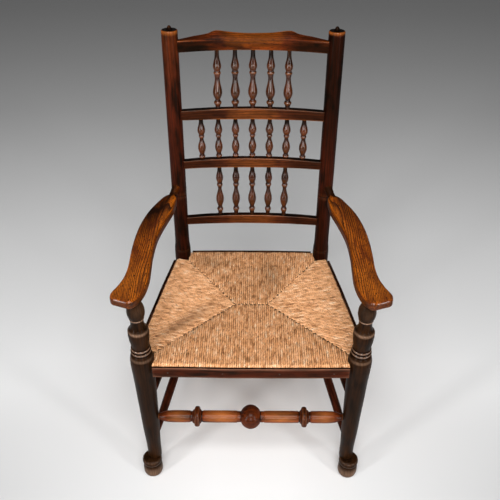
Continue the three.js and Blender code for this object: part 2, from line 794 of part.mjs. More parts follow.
// [distance from the middle, rise]: shares of the clear half width and of the rise of the crest's ridge
const crestRidgeShares = [
  [0, 0.62], [0.27, 0.76], [0.45, 0.97], [0.52, 1], [0.6, 0.66], [0.81, 0.33], [1, 0], [1.2, 0],
];

function shareAlong(table, at) {
  const next = Math.max(1, table.findIndex(([share]) => share >= at));
  const [low, high] = [table[next - 1], table[next]];
  return THREE.MathUtils.mapLinear(at, low[0], high[0], low[1], high[1]);
}

function crownAt(share) {
  return railCrown * (1 - share ** 2);
}

// A bowed rail from post to post. Its back edge rises above its front edge by the ridge.
function bowedRail(rail, crownUp, ridgeUp) {
  const steps = 12;
  const halfThickness = railThickness / 2;
  const bottom = upBack(rail.bottom);
  const rings = Array.from({ length: steps + 1 }, (_, i) => {
    const x = THREE.MathUtils.lerp(-postX, postX, i / steps);
    const share = Math.abs(x) / clearHalfWidth;
    const setBack = rail.bow * (1 - share ** 2);
    const top = bottom + rail.height + crownUp(share);
    const section = roundedSection(-halfThickness, bottom, halfThickness, top, railEdgeRounding, 1);
    return section.map(([y, z]) => {
      const backShare = (y + halfThickness) / railThickness;
      const ridge = z > (top + bottom) / 2 ? ridgeUp(share) * backShare : 0;
      return new THREE.Vector3(x, y + setBack, z + ridge);
    });
  });
  return loft(rings);
}

function railTenons(rail, gap) {
  const halfThickness = railTenonThickness / 2 + gap;
  const low = upBack(rail.bottom) + railTenonShoulder - gap;
  const high = upBack(rail.bottom) + rail.height - railTenonShoulder + gap;
  return sides.map(([, side]) => {
    const root = side * (clearHalfWidth - railTenonDepth / 2);
    const tip = side * (clearHalfWidth + railTenonDepth + gap);
    return block(
      new THREE.Vector3(Math.min(root, tip), -halfThickness, low),
      new THREE.Vector3(Math.max(root, tip), halfThickness, high),
    );
  });
}

// A peg driven from behind through the post and the crest's tenon, flush with the round of the post
function crestPeg(side, gap) {
  const height = upBack(crest.bottom) + crest.height / 2;
  const x = side * (postX - pegSetIn);
  const postFace = Math.sqrt(postRadius ** 2 - pegSetIn ** 2);
  const from = new THREE.Vector3(x, -pegPastMiddle - gap, height);
  const to = new THREE.Vector3(x, postFace + (gap > 0 ? cutOverrun : 0), height);
  return rod(from, to, pegRadius + gap, nailSides);
}

// Spindles

// [height from the top, radius]: shares of the spindle's visible length and of the spindle's radius
const tallSpindleShares = [
  [0, 0.45], [0.11, 0.49], [0.27, 0.88], [0.36, 0.62], [0.385, 0.76], [0.42, 0.62], [0.48, 0.52],
  [0.56, 0.64], [0.65, 0.89], [0.72, 1], [0.79, 0.84], [0.85, 0.53], [0.9, 0.84], [0.945, 0.58], [1, 0.51],
];
const shortSpindleShares = [
  [0, 0.46], [0.09, 0.5], [0.29, 0.89], [0.39, 0.56], [0.43, 0.63], [0.5, 0.45], [0.63, 0.8], [0.72, 0.89],
  [0.8, 0.76], [0.87, 0.53], [0.93, 0.72], [0.97, 0.52], [1, 0.5],
];
const lowSpindleShares = [
  [0, 0.46], [0.08, 0.5], [0.23, 0.86], [0.33, 0.58], [0.37, 0.7], [0.41, 0.5], [0.46, 0.44], [0.58, 0.82],
  [0.67, 0.94], [0.74, 0.8], [0.81, 0.51], [0.875, 0.76], [0.93, 0.51], [1, 0.5],
];
const tiers = [
  { name: 'upper', above: crest, below: railUpper, count: 5, shares: tallSpindleShares },
  { name: 'middle', above: railUpper, below: railMiddle, count: 7, shares: shortSpindleShares },
  { name: 'lower', above: railMiddle, below: railLower, count: 5, shares: lowSpindleShares },
];

// Where each spindle of a tier stands: its ends lie on the bows of the rails above and below
function spindlePlaces({ above, below, count }) {
  return Array.from({ length: count }, (_, i) => {
    const x = (i - (count - 1) / 2) * spindlePitch;
    const share = Math.abs(x) / clearHalfWidth;
    const arch = 1 - share ** 2;
    const low = upBack(below.bottom) + below.height + crownAt(share) + fitGap;
    const high = upBack(above.bottom) - fitGap;
    const foot = new THREE.Vector3(x, below.bow * arch, low);
    const head = new THREE.Vector3(x, above.bow * arch, high);
    return { foot, head };
  });
}

function spindle({ foot, head }, shares) {
  const length = foot.distanceTo(head);
  const points = shares.slice().reverse().map(([down, out]) => [(1 - down) * length, out * spindleRadius]);
  points.unshift([-spindleTenonLength, spindleTenonRadius], [0, spindleTenonRadius]);
  points.push([length, spindleTenonRadius], [length + spindleTenonLength, spindleTenonRadius]);
  return aimed(turned(points, spindleSides), foot, head);
}

function spindleHoles(tier) {
  const overrun = spindleTenonLength + fitGap;
  return spindlePlaces(tier).map(({ foot, head }) => (
    rod(foot, head, spindleTenonRadius + fitGap, spindleSides, overrun)
  ));
}

for (const tier of tiers) {
  spindlePlaces(tier).forEach((place, i) => {
    addPiece(`spindle_${tier.name}_${i + 1}`, spindle(place, tier.shares), spindleWood, back);
  });
}

function backRail(rail, crownUp, ridgeUp, holes) {
  const scribed = cut(bowedRail(rail, crownUp, ridgeUp), ...leaningPostCutters());
  return cut(joined(scribed, ...railTenons(rail, 0)), ...holes);
}

{
  const [upperTier, middleTier, lowerTier] = tiers;
  const level = () => 0;
  const ridge = (share) => crest.ridgeRise * shareAlong(crestRidgeShares, share);
  const crestHoles = [...spindleHoles(upperTier), ...sides.map(([, side]) => crestPeg(side, fitGap))];
  addPiece('crest_rail', backRail(crest, level, ridge, crestHoles), goldenWood, back);
  const plainRails = [
    ['upper', railUpper, upperTier, middleTier],
    ['middle', railMiddle, middleTier, lowerTier],
    ['lower', railLower, lowerTier],
  ];
  for (const [name, rail, ...tiersMet] of plainRails) {
    const holes = tiersMet.flatMap(spindleHoles);
    addPiece(`back_rail_${name}`, backRail(rail, crownAt, level, holes), darkWood, back);
  }
  for (const [name, side] of sides) addPiece(`crest_peg_${name}`, crestPeg(side, 0), darkWood, back);
}

// Back posts

// [height, radius] as shares of the nub on top of a post
const nubShares = [[0, 1], [0.5, 0.75], [1, 0.2]];

function holesInPost(side) {
  const { rear, right, left } = seatSides;
  const leaning = [
    ...[crest, railUpper, railMiddle, railLower].flatMap((rail) => railTenons(rail, fitGap)),
    crestPeg(side, fitGap),
  ].map((hole) => hole.applyMatrix4(back.matrix));
  return [
    ...leaning,
    ...seatTenons(rear, fitGap),
    ...seatTenons(side < 0 ? left : right, fitGap),
    ...[sideStretcherUpper, sideStretcherLower].flatMap((size) => (
      stretcherHoles(sideStretcherEnds(side, size), size)
    )),
    ...stretcherHoles(rearStretcherEnds(), rearStretcher),
    armNeck(side, fitGap),
  ];
}

for (const [name, side] of sides) {
  const nub = nubShares.map(([up, out]) => [up * postTopNubHeight, out * postTopNubRadius]);
  const points = postPoints(0);
  const top = points[points.length - 1][0];
  points.push(...nub.map(([up, out]) => [top + up, out]));
  const post = bendBack(turned(points, legSides)).translate(side * postX, frameDepth, 0);
  addPiece(`back_post_${name}`, cut(post, ...holesInPost(side)), darkWood);
}

// The finished chair stands on the floor with its middle over the origin
chair.updateMatrixWorld(true);
const bounds = new THREE.Box3().setFromObject(chair, true);
const middle = bounds.getCenter(new THREE.Vector3());
chair.position.set(-middle.x, -middle.y, -bounds.min.z);

export default chair;
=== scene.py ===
import math

import bpy
import numpy as np
from mathutils import Matrix, Vector, noise


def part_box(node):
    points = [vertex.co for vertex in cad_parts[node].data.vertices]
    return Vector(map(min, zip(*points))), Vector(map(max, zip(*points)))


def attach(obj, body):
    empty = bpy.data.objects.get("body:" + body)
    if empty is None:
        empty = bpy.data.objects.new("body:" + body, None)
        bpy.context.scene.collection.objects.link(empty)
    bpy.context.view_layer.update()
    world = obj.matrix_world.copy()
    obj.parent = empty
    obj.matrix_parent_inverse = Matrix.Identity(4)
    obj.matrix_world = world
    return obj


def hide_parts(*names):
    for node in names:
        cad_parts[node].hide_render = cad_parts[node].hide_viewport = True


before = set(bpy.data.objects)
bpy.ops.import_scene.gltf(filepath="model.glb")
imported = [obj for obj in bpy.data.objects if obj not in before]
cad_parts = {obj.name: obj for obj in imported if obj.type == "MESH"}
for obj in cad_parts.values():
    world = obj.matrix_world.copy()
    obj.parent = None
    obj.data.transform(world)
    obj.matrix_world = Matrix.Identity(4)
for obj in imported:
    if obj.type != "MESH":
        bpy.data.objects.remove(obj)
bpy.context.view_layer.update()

# The viewpoint: somebody standing in front of the chair looks down at its seat through a short
# telephoto lens, held a little askew. Sizes in this file are millimetres from the floor midway between
# the front legs.
front_line = sum(corner.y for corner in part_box("front_stretcher")) / 2  # the front legs' axes, in metres
eye_height, eye_distance, eye_tilt, eye_roll = 1667.3, 1128.4, 37.67, 0.38


def new_object(name, data):
    """An object at the origin, in the scene."""
    thing = bpy.data.objects.new(name, data)
    bpy.context.scene.collection.objects.link(thing)
    return thing


viewpoint = new_object("viewpoint", bpy.data.cameras.new("viewpoint"))
viewpoint.data.lens = 47.43
viewpoint.data.shift_x = -0.0035
viewpoint.location = (0, front_line - eye_distance / 1000, eye_height / 1000)
viewpoint.rotation_euler = (Matrix.Rotation(math.radians(90 - eye_tilt), 3, "X")
                            @ Matrix.Rotation(math.radians(eye_roll), 3, "Z")).to_euler()
bpy.context.scene.camera = viewpoint
bpy.context.scene.view_settings.view_transform = "Standard"


# The studio: a pale paper floor that fills the view, two narrow soft boxes before the chair that draw
# a pair of long satin highlights on every turning, a wide one high in front of it, and a smaller one
# lower down that puts a point of light on every ball and bulge.
def linear(colour):
    """The linear colour of an sRGB hex value."""
    parts = [int(colour[i:i + 2], 16) / 255 for i in (1, 3, 5)]
    return (*[c / 12.92 if c <= 0.04045 else ((c + 0.055) / 1.055) ** 2.4 for c in parts], 1.0)


def set_inputs(node, inputs):
    """Links inputs of a node to sockets, or sets them to values or hex colours."""
    for key, value in inputs.items():
        if isinstance(value, bpy.types.NodeSocket):
            node.id_data.links.new(value, node.inputs[key])
        elif value is not None:
            is_colour = isinstance(value, str) and value.startswith("#")
            node.inputs[key].default_value = linear(value) if is_colour else value


def add(tree, kind, *inputs, out=0, **settings):
    """Adds a node with its settings, fills its inputs in order or from a dict, and returns an output."""
    node = tree.nodes.new(kind)
    for key, value in settings.items():
        if key == "stops":
            ramp = node.color_ramp.elements
            while len(ramp) < len(value):
                ramp.new(0.5)
            for stop, (place, colour) in zip(ramp, value):
                stop.position, stop.color = place, linear(colour)
        else:
            setattr(node, key, value)
    by_name = inputs and isinstance(inputs[0], dict)
    set_inputs(node, inputs[0] if by_name else dict(enumerate(inputs)))
    return node.outputs[out] if len(node.outputs) else None


def new_material(name, even):
    """A material, its nodes and its shader, on which everything that is the same all over is set."""
    material = bpy.data.materials.new(name)
    material.use_nodes = True
    shader = material.node_tree.nodes["Principled BSDF"]
    set_inputs(shader, even)
    return material, material.node_tree, shader


floor_reach = 7.0
paper, tree, shader = new_material("pale_studio_paper", {"Roughness": 0.9, "Specular IOR Level": 0.1})
where = add(tree, "ShaderNodeTexCoord", out="Object")
axes = add(tree, "ShaderNodeSeparateXYZ", where).node.outputs
# The paper's colour is painted with the light's falloff: palest under and just behind the chair, greyer in
# front of it and far behind it
fall = add(tree, "ShaderNodeMapRange", axes["Y"], -0.4, 4.5)
painted_light_falloff = add(tree, "ShaderNodeValToRGB", fall, stops=[
    (0, "#dfdfdf"), (0.06, "#e9e9e9"), (0.12, "#f8f8f8"), (0.27, "#f6f6f6"), (0.4, "#ebebeb"),
    (0.51, "#dddddd"), (0.66, "#d4d4d4"), (0.86, "#cccccc")])
# A painted pool of light: before the chair the paper is painted palest in the middle and greyer to both
# sides
aside = add(tree, "ShaderNodeMath", axes["X"], operation="ABSOLUTE")
across = add(tree, "ShaderNodeMapRange", aside, 0.1, 0.75, 1.16, 0.84)
in_front = add(tree, "ShaderNodeMapRange", axes["Y"], -0.3, 0.05, 1.0, 0.0)
share = add(tree, "ShaderNodeMix", in_front, None, 1.0, across)
shaded = add(tree, "ShaderNodeVectorMath", {0: painted_light_falloff, "Scale": share}, operation="SCALE")
set_inputs(shader, {"Base Color": shaded})
floor_mesh = bpy.data.meshes.new("studio_floor")
floor_mesh.from_pydata([(x * floor_reach, y * floor_reach, 0) for x, y in (
    (-1, -1), (1, -1), (1, 1), (-1, 1))], [], [(0, 1, 2, 3)])
floor_mesh.materials.append(paper)
studio_floor = new_object("studio_floor", floor_mesh)

lamps = [
    # name, place in metres, aimed at, width, height, watts
    ("soft_box_left", (-2.0, -1.9, 1.2), (0, 0.1, 0.9), 0.32, 2.0, 36),
    ("soft_box_right", (2.0, -1.9, 1.2), (0, 0.1, 0.9), 0.32, 2.0, 28),
    ("soft_box_above", (0, -1.7, 2.9), (0, 0.1, 0.4), 2.0, 1.2, 70),
    ("soft_box_front", (0, -2.8, 1.4), (0, 0.1, 0.9), 1.0, 0.8, 33),
]
for name, place, target, width, height, watts in lamps:
    light = bpy.data.lights.new(name, "AREA")
    light.shape, light.size, light.size_y, light.energy = "RECTANGLE", width, height, watts
    lamp = new_object(name, light)
    lamp.location = place
    lamp.rotation_euler = (Vector(target) - Vector(place)).to_track_quat("-Z", "Y").to_euler()

world = bpy.data.worlds.new("studio")
world.use_nodes = True
set_inputs(world.node_tree.nodes["Background"], {"Color": "#ffffff", "Strength": 0.1})
bpy.context.scene.world = world


# The two back posts: ash turned on a lathe, with a collar where the seat rails enter, then steamed and
# bent so that they lean back above the seat. Stained nearly black and waxed; the rims are rubbed bare.
post_x, post_y, post_radius, collar_radius, post_top = 205.2, 420.0, 20.4, 23.0, 1110.0
rake, bend_start, bend_length = math.radians(4.1), 330.0, 110.0
bend_radius = bend_length / rake
bend_top = bend_start + bend_radius * math.sin(rake)


def up_post(height):
    """Distance along a back post of a height above its bend."""
    return bend_start + bend_length + (height - bend_top) / math.cos(rake)


def leaning(across, out, along):
    """A point beside a back post: straight up to the bend, then leaning back."""
    angle = np.clip((along - bend_start) / bend_length, 0, 1) * rake
    above = np.maximum(0, along - bend_start - bend_length)
    y = post_y + bend_radius * (1 - np.cos(angle)) + above * math.sin(rake) + out * np.cos(angle)
    z = np.minimum(along, bend_start) + bend_radius * np.sin(angle) + above * math.cos(rake)
    return np.stack([across, y, z - out * np.sin(angle)], axis=-1)


def hermite(t, start, leave, end, arrive):
    """A point on the curve between two points with these tangents."""
    return ((2 * t**3 - 3 * t**2 + 1) * start + (t**3 - 2 * t**2 + t) * leave
            + (3 * t**2 - 2 * t**3) * end + (t**3 - t**2) * arrive)


def smooth_outline(points, step=8.0):
    """[along, radius] samples of a worn turning that passes its points without overshooting them."""
    x, y = np.array(points, float).T
    gap = np.diff(x)
    slope = np.diff(y) / gap
    tangent = np.concatenate([slope[:1], np.zeros(len(x) - 2), slope[-1:]])
    for i in range(1, len(x) - 1):
        if slope[i - 1] * slope[i] > 0:
            before, after = 2 * gap[i] + gap[i - 1], gap[i] + 2 * gap[i - 1]
            tangent[i] = (before + after) / (before / slope[i - 1] + after / slope[i])
    samples = []
    for i in range(len(gap)):
        count = max(2, math.ceil(gap[i] / step))
        leave, arrive = tangent[i:i + 2] * gap[i]
        samples += [(x[i] + t * gap[i], hermite(t, y[i], leave, y[i + 1], arrive))
                    for t in np.arange(count) / count]
    return np.array(samples + [(x[-1], y[-1])])


def turned(outline, place, around=48, seed=0.0):
    """Rings of a hand-turned piece, which place(a, b, along) puts in the chair, and their grain."""
    angle = np.linspace(0, 2 * math.pi, around, endpoint=False)
    along = np.repeat(outline[:, 0], around).reshape(-1, around)
    wobble = np.array([[noise.noise((math.cos(a) + seed, math.sin(a), s / 70)) for a in angle]
                       for s in outline[:, 0]])
    radius = outline[:, 1:] * (1 + 0.008 * wobble)  # out of round by up to 0.8 %
    a, b = radius * np.cos(angle), radius * np.sin(angle)
    return place(a, b, along), np.stack([a, b, along], axis=-1)


def new_mesh(name, points, edges=(), faces=()):
    """A mesh of points in millimetres."""
    mesh = bpy.data.meshes.new(name)
    mesh.from_pydata(np.array(points) / 1000 + [0, front_line, 0], edges, faces)
    return mesh


def mark_points(mesh, name, values):
    """Stores a number or a vector for every point of a mesh."""
    values = np.array(values, np.float32)
    kind, key = ("FLOAT", "value") if values.ndim == 1 else ("FLOAT_VECTOR", "vector")
    mesh.attributes.new(name, kind, "POINT").data.foreach_set(key, values.ravel())


def skin(name, *shells, handled=None, seed=0.0, sharp=40):
    """An object of closed shells, each of matching rings of points in millimetres with their grain.
    Points keep how far they stand out, as "wear", and what handled makes of their grain,
    as "handled": up to 1 where hands and feet rub them light and where highlights are
    painted, down to -1 where they stay dark with dirt and where shade is painted."""
    points, grains, faces = [], [], []
    for rings, grain in shells:
        count, around = rings.shape[:2]
        start = len(points)
        points += [*rings.reshape(-1, 3), rings[0].mean(0), rings[-1].mean(0)]
        grains += [*grain.reshape(-1, 3), grain[0].mean(0), grain[-1].mean(0)]
        shell, last = [], (count - 1) * around
        for k in range(around):
            after = (k + 1) % around
            shell += [(i + k, i + after, i + after + around, i + k + around)
                      for i in range(0, last, around)]
            shell += [(last + around, after, k), (last + around + 1, last + k, last + after)]
        p = np.array(points[start:])
        p = p - p.mean(0)
        volume = sum(p[f[0]] @ np.cross(p[f[j]], p[f[j + 1]]) for f in shell for j in range(1, len(f) - 1))
        faces += [tuple(start + v for v in (f if volume > 0 else f[::-1])) for f in shell]
    points = np.array(points)
    mesh = new_mesh(name, points, faces=faces)
    mesh.shade_smooth()
    mesh.set_sharp_from_angle(angle=math.radians(sharp))
    ends = np.array([edge.vertices[:] for edge in mesh.edges])
    normals = np.array([normal.vector[:] for normal in mesh.vertex_normals])
    step = points[ends[:, 1]] - points[ends[:, 0]]
    length = np.maximum((step**2).sum(1), 0.01)
    wear, touching = np.zeros(len(points)), np.zeros(len(points))
    for one, way in ((0, 1), (1, -1)):
        np.add.at(wear, ends[:, one], -2 * way * (normals[ends[:, one]] * step).sum(1) / length)
        np.add.at(touching, ends[:, one], 1)
    wear /= touching
    for _ in range(2):
        spread = wear.copy()
        for one in (0, 1):
            np.add.at(spread, ends[:, one], wear[ends[:, 1 - one]])
        wear = spread / (touching + 1)
    grains = np.array(grains)
    mark_points(mesh, "wear", wear)
    mark_points(mesh, "handled", np.zeros(len(points)) if handled is None else handled(*grains.T))
    mark_points(mesh, "grain", grains + [37 * seed, 53 * seed, 0])
    return new_object(name, mesh)


def fit(piece, material, slot, *nodes):
    """Gives a finished piece its material, and lets it stand for its solids."""
    piece.data.materials.clear()
    piece.data.materials.append(material)
    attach(piece, "root")
    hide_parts(*nodes)


def waxed_wood(name, palette, pith, roughness, ring=5.0, wood_lines=0.5, edge_wear=1.0, tilt=0.035,
               pore_length=18, gloss=(0.04, 0.5, 0.2)):
    """Turned or sawn ash under stain and wax, in the colours of its ground, streaks, year lines, worn wood,
    which also paints highlights, and grime, which also paints shade. Year rings run round a pith beside the
    piece, pores and streaks along the grain. The gloss is how much polish plain wood and raised edges have,
    and how rough it is."""
    ground, streak, line, worn_and_highlight, grime_and_shade = palette.split()
    material, tree, shader = new_material(name, {
        "Coat Roughness": gloss[2], "Specular IOR Level": 0.05, "Specular Tint": "#d8b090"})
    grain, wear, handled = (
        add(tree, "ShaderNodeAttribute", out=out, attribute_name=mark)
        for mark, out in (("grain", "Vector"), ("wear", "Fac"), ("handled", "Fac")))
    # Widths across and lengths along the grain. Real pores are 0.3 mm wide, too fine for the picture,
    # so they are drawn 1.5 mm wide, and the streaks between year rings 5 mm.
    noises = []
    for size, detail, out in (((60, 60, 240), 2, "Color"), ((5, 5, 75), 3, "Fac"),
                              ((1.5, 1.5, pore_length), 2, "Fac"), ((24, 24, 60), 3, "Fac")):
        scaled = add(tree, "ShaderNodeVectorMath", grain, [1 / s for s in size], operation="MULTIPLY")
        noises.append(add(tree, "ShaderNodeTexNoise", {
            "Vector": scaled, "Scale": 1.0, "Detail": detail}, out=out))
    wander, streaks, pores, patches = noises
    wavy = add(tree, "ShaderNodeVectorMath", wander, (12, 12, 0), grain, operation="MULTIPLY_ADD")
    about_pith = add(tree, "ShaderNodeMapping", {
        "Vector": wavy, "Location": (*pith, 0), "Rotation": (tilt, tilt / 2, 0)})
    # A wave texture repeats every 0.314 units at a scale of one
    rings = add(tree, "ShaderNodeTexWave", {"Vector": about_pith, "Scale": 0.314 / ring}, out="Fac",
                wave_type="RINGS", rings_direction="Z", wave_profile="SAW")
    mottle = add(tree, "ShaderNodeMix", 0.6, None, streaks, patches)
    colour = add(tree, "ShaderNodeValToRGB", mottle, stops=[(0.4, ground), (0.6, streak)])
    for driver, start, full, strength, broken_by, tint in (
            # what drives a layer, where it starts and is full, its strength, what breaks it up, its colour
            (handled, 0.0, 1.0, 1.6, patches, worn_and_highlight),
            (wear, 0.05, 0.24, 1.5 * edge_wear, streaks, worn_and_highlight),
            (rings, 0.4, 1.0, 1.6 * wood_lines, patches, line),
            (pores, 0.54, 0.68, 1.7 * wood_lines, streaks, line),
            (wear, -0.012, -0.09, 1.8, patches, grime_and_shade),
            (handled, 0.0, -1.0, 2.0, patches, grime_and_shade)):
        share = add(tree, "ShaderNodeMapRange", driver, start, full, 0.0, strength)
        broken = add(tree, "ShaderNodeMath", share, broken_by, operation="MULTIPLY", use_clamp=True)
        colour = add(tree, "ShaderNodeMix", {0: broken, 6: colour, 7: tint}, out=2, data_type="RGBA")
    rough = add(tree, "ShaderNodeMapRange", patches, 0.3, 0.7, roughness - 0.05, roughness + 0.12)
    relief = add(tree, "ShaderNodeMath", pores, -0.6, streaks, operation="MULTIPLY_ADD")
    bump = add(tree, "ShaderNodeBump", {"Height": relief, "Strength": 0.35, "Distance": 0.0006})
    # Old wax is polished by hands and cloths wherever the wood stands out, dull where dirt lies in it and
    # where shade is painted, and too thin to mirror the studio at a glancing angle
    polished = add(tree, "ShaderNodeMapRange", wear, 0.06, 0.11, *gloss[:2])
    clean = add(tree, "ShaderNodeMath", handled, 1.1, operation="ADD", use_clamp=True)
    facing = add(tree, "ShaderNodeLayerWeight", 0.5, out="Facing")
    direct = add(tree, "ShaderNodeMapRange", facing, 0.3, 0.7, 1.0, 0.0)
    shine = add(tree, "ShaderNodeMath", polished, clean, operation="MULTIPLY")
    shine = add(tree, "ShaderNodeMath", shine, direct, operation="MULTIPLY")
    set_inputs(shader, {"Base Color": colour, "Roughness": rough, "Normal": bump, "Coat Weight": shine})
    return material


post_outline = smooth_outline([
    (0, 13), (1.2, 15.5), (4, 17.5), (150, 18.8), (bend_start, post_radius), (388, 22.4), (396, 22.9),
    (402, collar_radius), (440, collar_radius),
    *[(up_post(height), radius) for height, radius in (
        (470, collar_radius), (473.4, 22.7), (474.6, 22.0), (475.8, 22.7), (479, 22.7), (490, 21.4),
        (501, 20.6), (560, post_radius), (656, post_radius), (657, 20.0), (658, post_radius), (900, 20.5))],
    *[(up_post(post_top) + above, radius) for above, radius in (
        (-4, post_radius), (-1.6, 19.7), (-0.2, 18.2), (0, 16.6), (0.3, 10), (1.2, 8.3), (4, 6), (7, 4.4),
        (9, 3.0), (9.8, 1.8))]])
post_wood = waxed_wood(
    "stained_waxed_ash", "#160804 #4a1a0b #0f0502 #94501f #080402",
    ring=6.0, pith=(45, -30), roughness=0.4, gloss=(0.04, 0.4, 0.25))
sides = (("left", -1), ("right", 1))
for (name, side), dirt in zip(sides, (0.0, 0.8)):
    # Faded a little at the top, where the right post is darker, pale at the rim and dark on the flat end
    heights = [450, 560, 720, 950, *[up_post(post_top) - down for down in (9, 4, 1, 0.2)]]
    marks = [-0.6, -0.5, -0.3, -dirt, 0.1 - dirt, 0.9, 0.9, -1]
    rings = turned(post_outline, lambda a, b, s: leaning(side * post_x + a, b, s), seed=1.7 + side)
    post = skin(f"turned_back_post_{name}", rings, seed=1.7 + side,
                handled=lambda a, b, s: np.interp(s, heights, marks))
    fit(post, post_wood, "dark_wood", f"back_post_{name}")


# The crest rail and the three rails under it: sawn from ash, bowed backwards by steam and tenoned into
# the posts. The crest has two soft peaks and its upper front edge is worn round and golden by hands.
clear_half_width, rail_thickness, rail_crown = post_x - post_radius, 18.0, 4.0
rail_half_length = post_x - 8  # it ends inside the posts
rail_places = {
    # bottom above the floor, height, backward bow
    "crest": (1057.8, 27.2, 18.7),
    "upper": (877.5, 26.5, 12.0),
    "middle": (737.1, 23.8, 13.0),
    "lower": (559.2, 23.9, 10.5),
}
ridge_rise, ridge_shares = 21.2, [
    (0, 0.6), (0.14, 0.63), (0.27, 0.72), (0.38, 0.86), (0.45, 0.97), (0.5, 1), (0.545, 0.91),
    (0.6, 0.66), (0.68, 0.5), (0.81, 0.33), (0.92, 0.13), (1, 0), (1.2, 0)]


def rounded_section(left, bottom, right, top, roundings, flat=6, curve=5):
    """Points round a worn rectangle, anticlockwise from its lower right corner, each with its rounding."""
    corners = [(right, bottom, -1, 1), (right, top, -1, -1), (left, top, 1, -1), (left, bottom, 1, 1)]
    arcs = []
    for k, ((across, up, inward, upward), r) in enumerate(zip(corners, roundings)):
        turn = np.linspace(0, math.pi / 2, curve + 1) + (k - 1) * math.pi / 2
        arcs.append(np.stack([across + (inward + np.cos(turn)) * r, up + (upward + np.sin(turn)) * r], -1))
    t = np.linspace(0, 1, flat + 1)[1:-1, None]
    return np.concatenate([part for k in range(4) for part in (
        arcs[k], arcs[k][-1] * (1 - t) + arcs[(k + 1) % 4][0] * t)])


def near(x, middle, width, power=2):
    """One at the middle, fading to nothing within about twice the width."""
    return np.exp(-((x - middle) / width) ** power)


def bowed_rail(bottom, height, bow, ridge, seed):
    """Rings along a rail from post to post, and their grain. The ridge lifts the back of its top, and
    hands have worn the front edge under it round."""
    rings, grains = [], []
    half = rail_thickness / 2
    for x in np.linspace(-rail_half_length, rail_half_length, 97):
        share = abs(x) / clear_half_width
        arch = max(0, 1 - share**2)
        rise = ridge * np.interp(share, *np.array(ridge_shares).T)
        top = height + (rail_crown * arch if ridge == 0 else 0)
        bottom_drop, worn_edge = 0.11 * ridge * share**2, 3 + 0.4 * ridge * near(x, 0, 110)
        y, z = rounded_section(-half, -bottom_drop, half, top, (2.5, 3.2, worn_edge, 2.5)).T
        back_share = (y + half) / rail_thickness
        z = z + np.clip((z - top / 2) / (top / 2), 0, 1) * rise * back_share
        z = z + 0.25 * noise.noise((x / 40, seed, 0))  # sawn by hand, so a little uneven
        grains.append(np.stack([y, z, np.full_like(y, x)], -1))
        y = y + bow * arch + 0.3 * noise.noise((x / 50, seed, 3))
        rings.append(leaning(np.full_like(y, x), y, up_post(bottom) + z))
    return np.array(rings), np.array(grains)


def handled_crest(y, z, x):
    """Golden where hands take it, over the middle of its front and top, and nearly black at its ends
    except for the rubbed edge."""
    held = near(x, 0, 95) * np.clip(z / 24, 0.1, 1)
    edge = 0.8 * near(z, 26, 1.6) * (y < 0) * np.clip((np.abs(x) - 90) / 50, 0, 1)
    return edge + held * 0.45 - np.clip((np.abs(x) - 65) / 60, 0, 0.85) * np.clip(1.9 - z / 22, 0.5, 1)


def rail_wear_and_shadow(y, z, x):
    """Lighter in the middle of its front, with a painted shadow along its top where the spindles stand, and
    dirt towards the posts.
    """
    # The darkening of the top is painted shadow; the darkening towards the posts is dirt
    dirt = np.clip((np.abs(x) - 60) / 110, 0, 0.55) + 0.8 * (z > 22.5) * (y > -8.0)
    return 0.22 * near(x, 0, 85) * (y < -7.5) - dirt


crest_wood = waxed_wood(
    "golden_waxed_ash_crest", "#260e06 #66290c #170905 #965012 #0d0603",
    pith=(20, -35), roughness=0.5, wood_lines=0.8, pore_length=9, gloss=(0.02, 0.2, 0.25))
rail_wood = waxed_wood(
    "stained_waxed_ash_rails", "#2c1208 #5c2b14 #180a05 #a45c22 #0b0503",
    pith=(25, -30), roughness=0.42, wood_lines=0.8, gloss=(0.04, 0.3, 0.25))
for seed, (name, (bottom, height, bow)) in enumerate(rail_places.items()):
    ridge, handled, wood, slot, node = (
        (ridge_rise, handled_crest, crest_wood, "golden_wood", "crest_rail") if name == "crest" else
        (0, rail_wear_and_shadow, rail_wood, "dark_wood", f"back_rail_{name}"))
    rail = skin(f"bowed_rail_{name}", bowed_rail(bottom, height, bow, ridge, seed + 0.5),
                handled=handled, seed=seed + 0.5)
    fit(rail, wood, slot, node)


# The oak pegs that pin the crest's tenons: whittled, driven in from behind and trimmed by hand a little
# proud of the post, so their end grain shows as two small pale spots at the back.
peg_x, peg_radius, peg_height = post_x - 9, 3.2, rail_places["crest"][0] + rail_places["crest"][1] / 2
peg_wood = waxed_wood(
    "riven_oak_pegs", "#4a2a16 #7a4c28 #2c170c #a06a3c #1c100a",
    ring=1.6, pith=(1.5, 1.0), roughness=0.5)
for name, side in sides:
    ends = smooth_outline([(-8, 2.9), (-5, 3.1), (17.6, peg_radius), (18.6, 3.0), (19.2, 2.2)], step=3)
    peg = turned(ends, lambda a, b, s: leaning(side * peg_x + a, s, up_post(peg_height) + b),
                 around=14, seed=5.0 + side)
    fit(skin(f"driven_peg_{name}", peg, seed=side, sharp=50), peg_wood, "dark_wood", f"crest_peg_{name}")


# The seventeen spindles: turned from straight-grained ash in three patterns, one for each tier, and
# sprung into holes in the rails. Each was turned by eye, so no two are quite alike.
spindle_pitch = 45.6
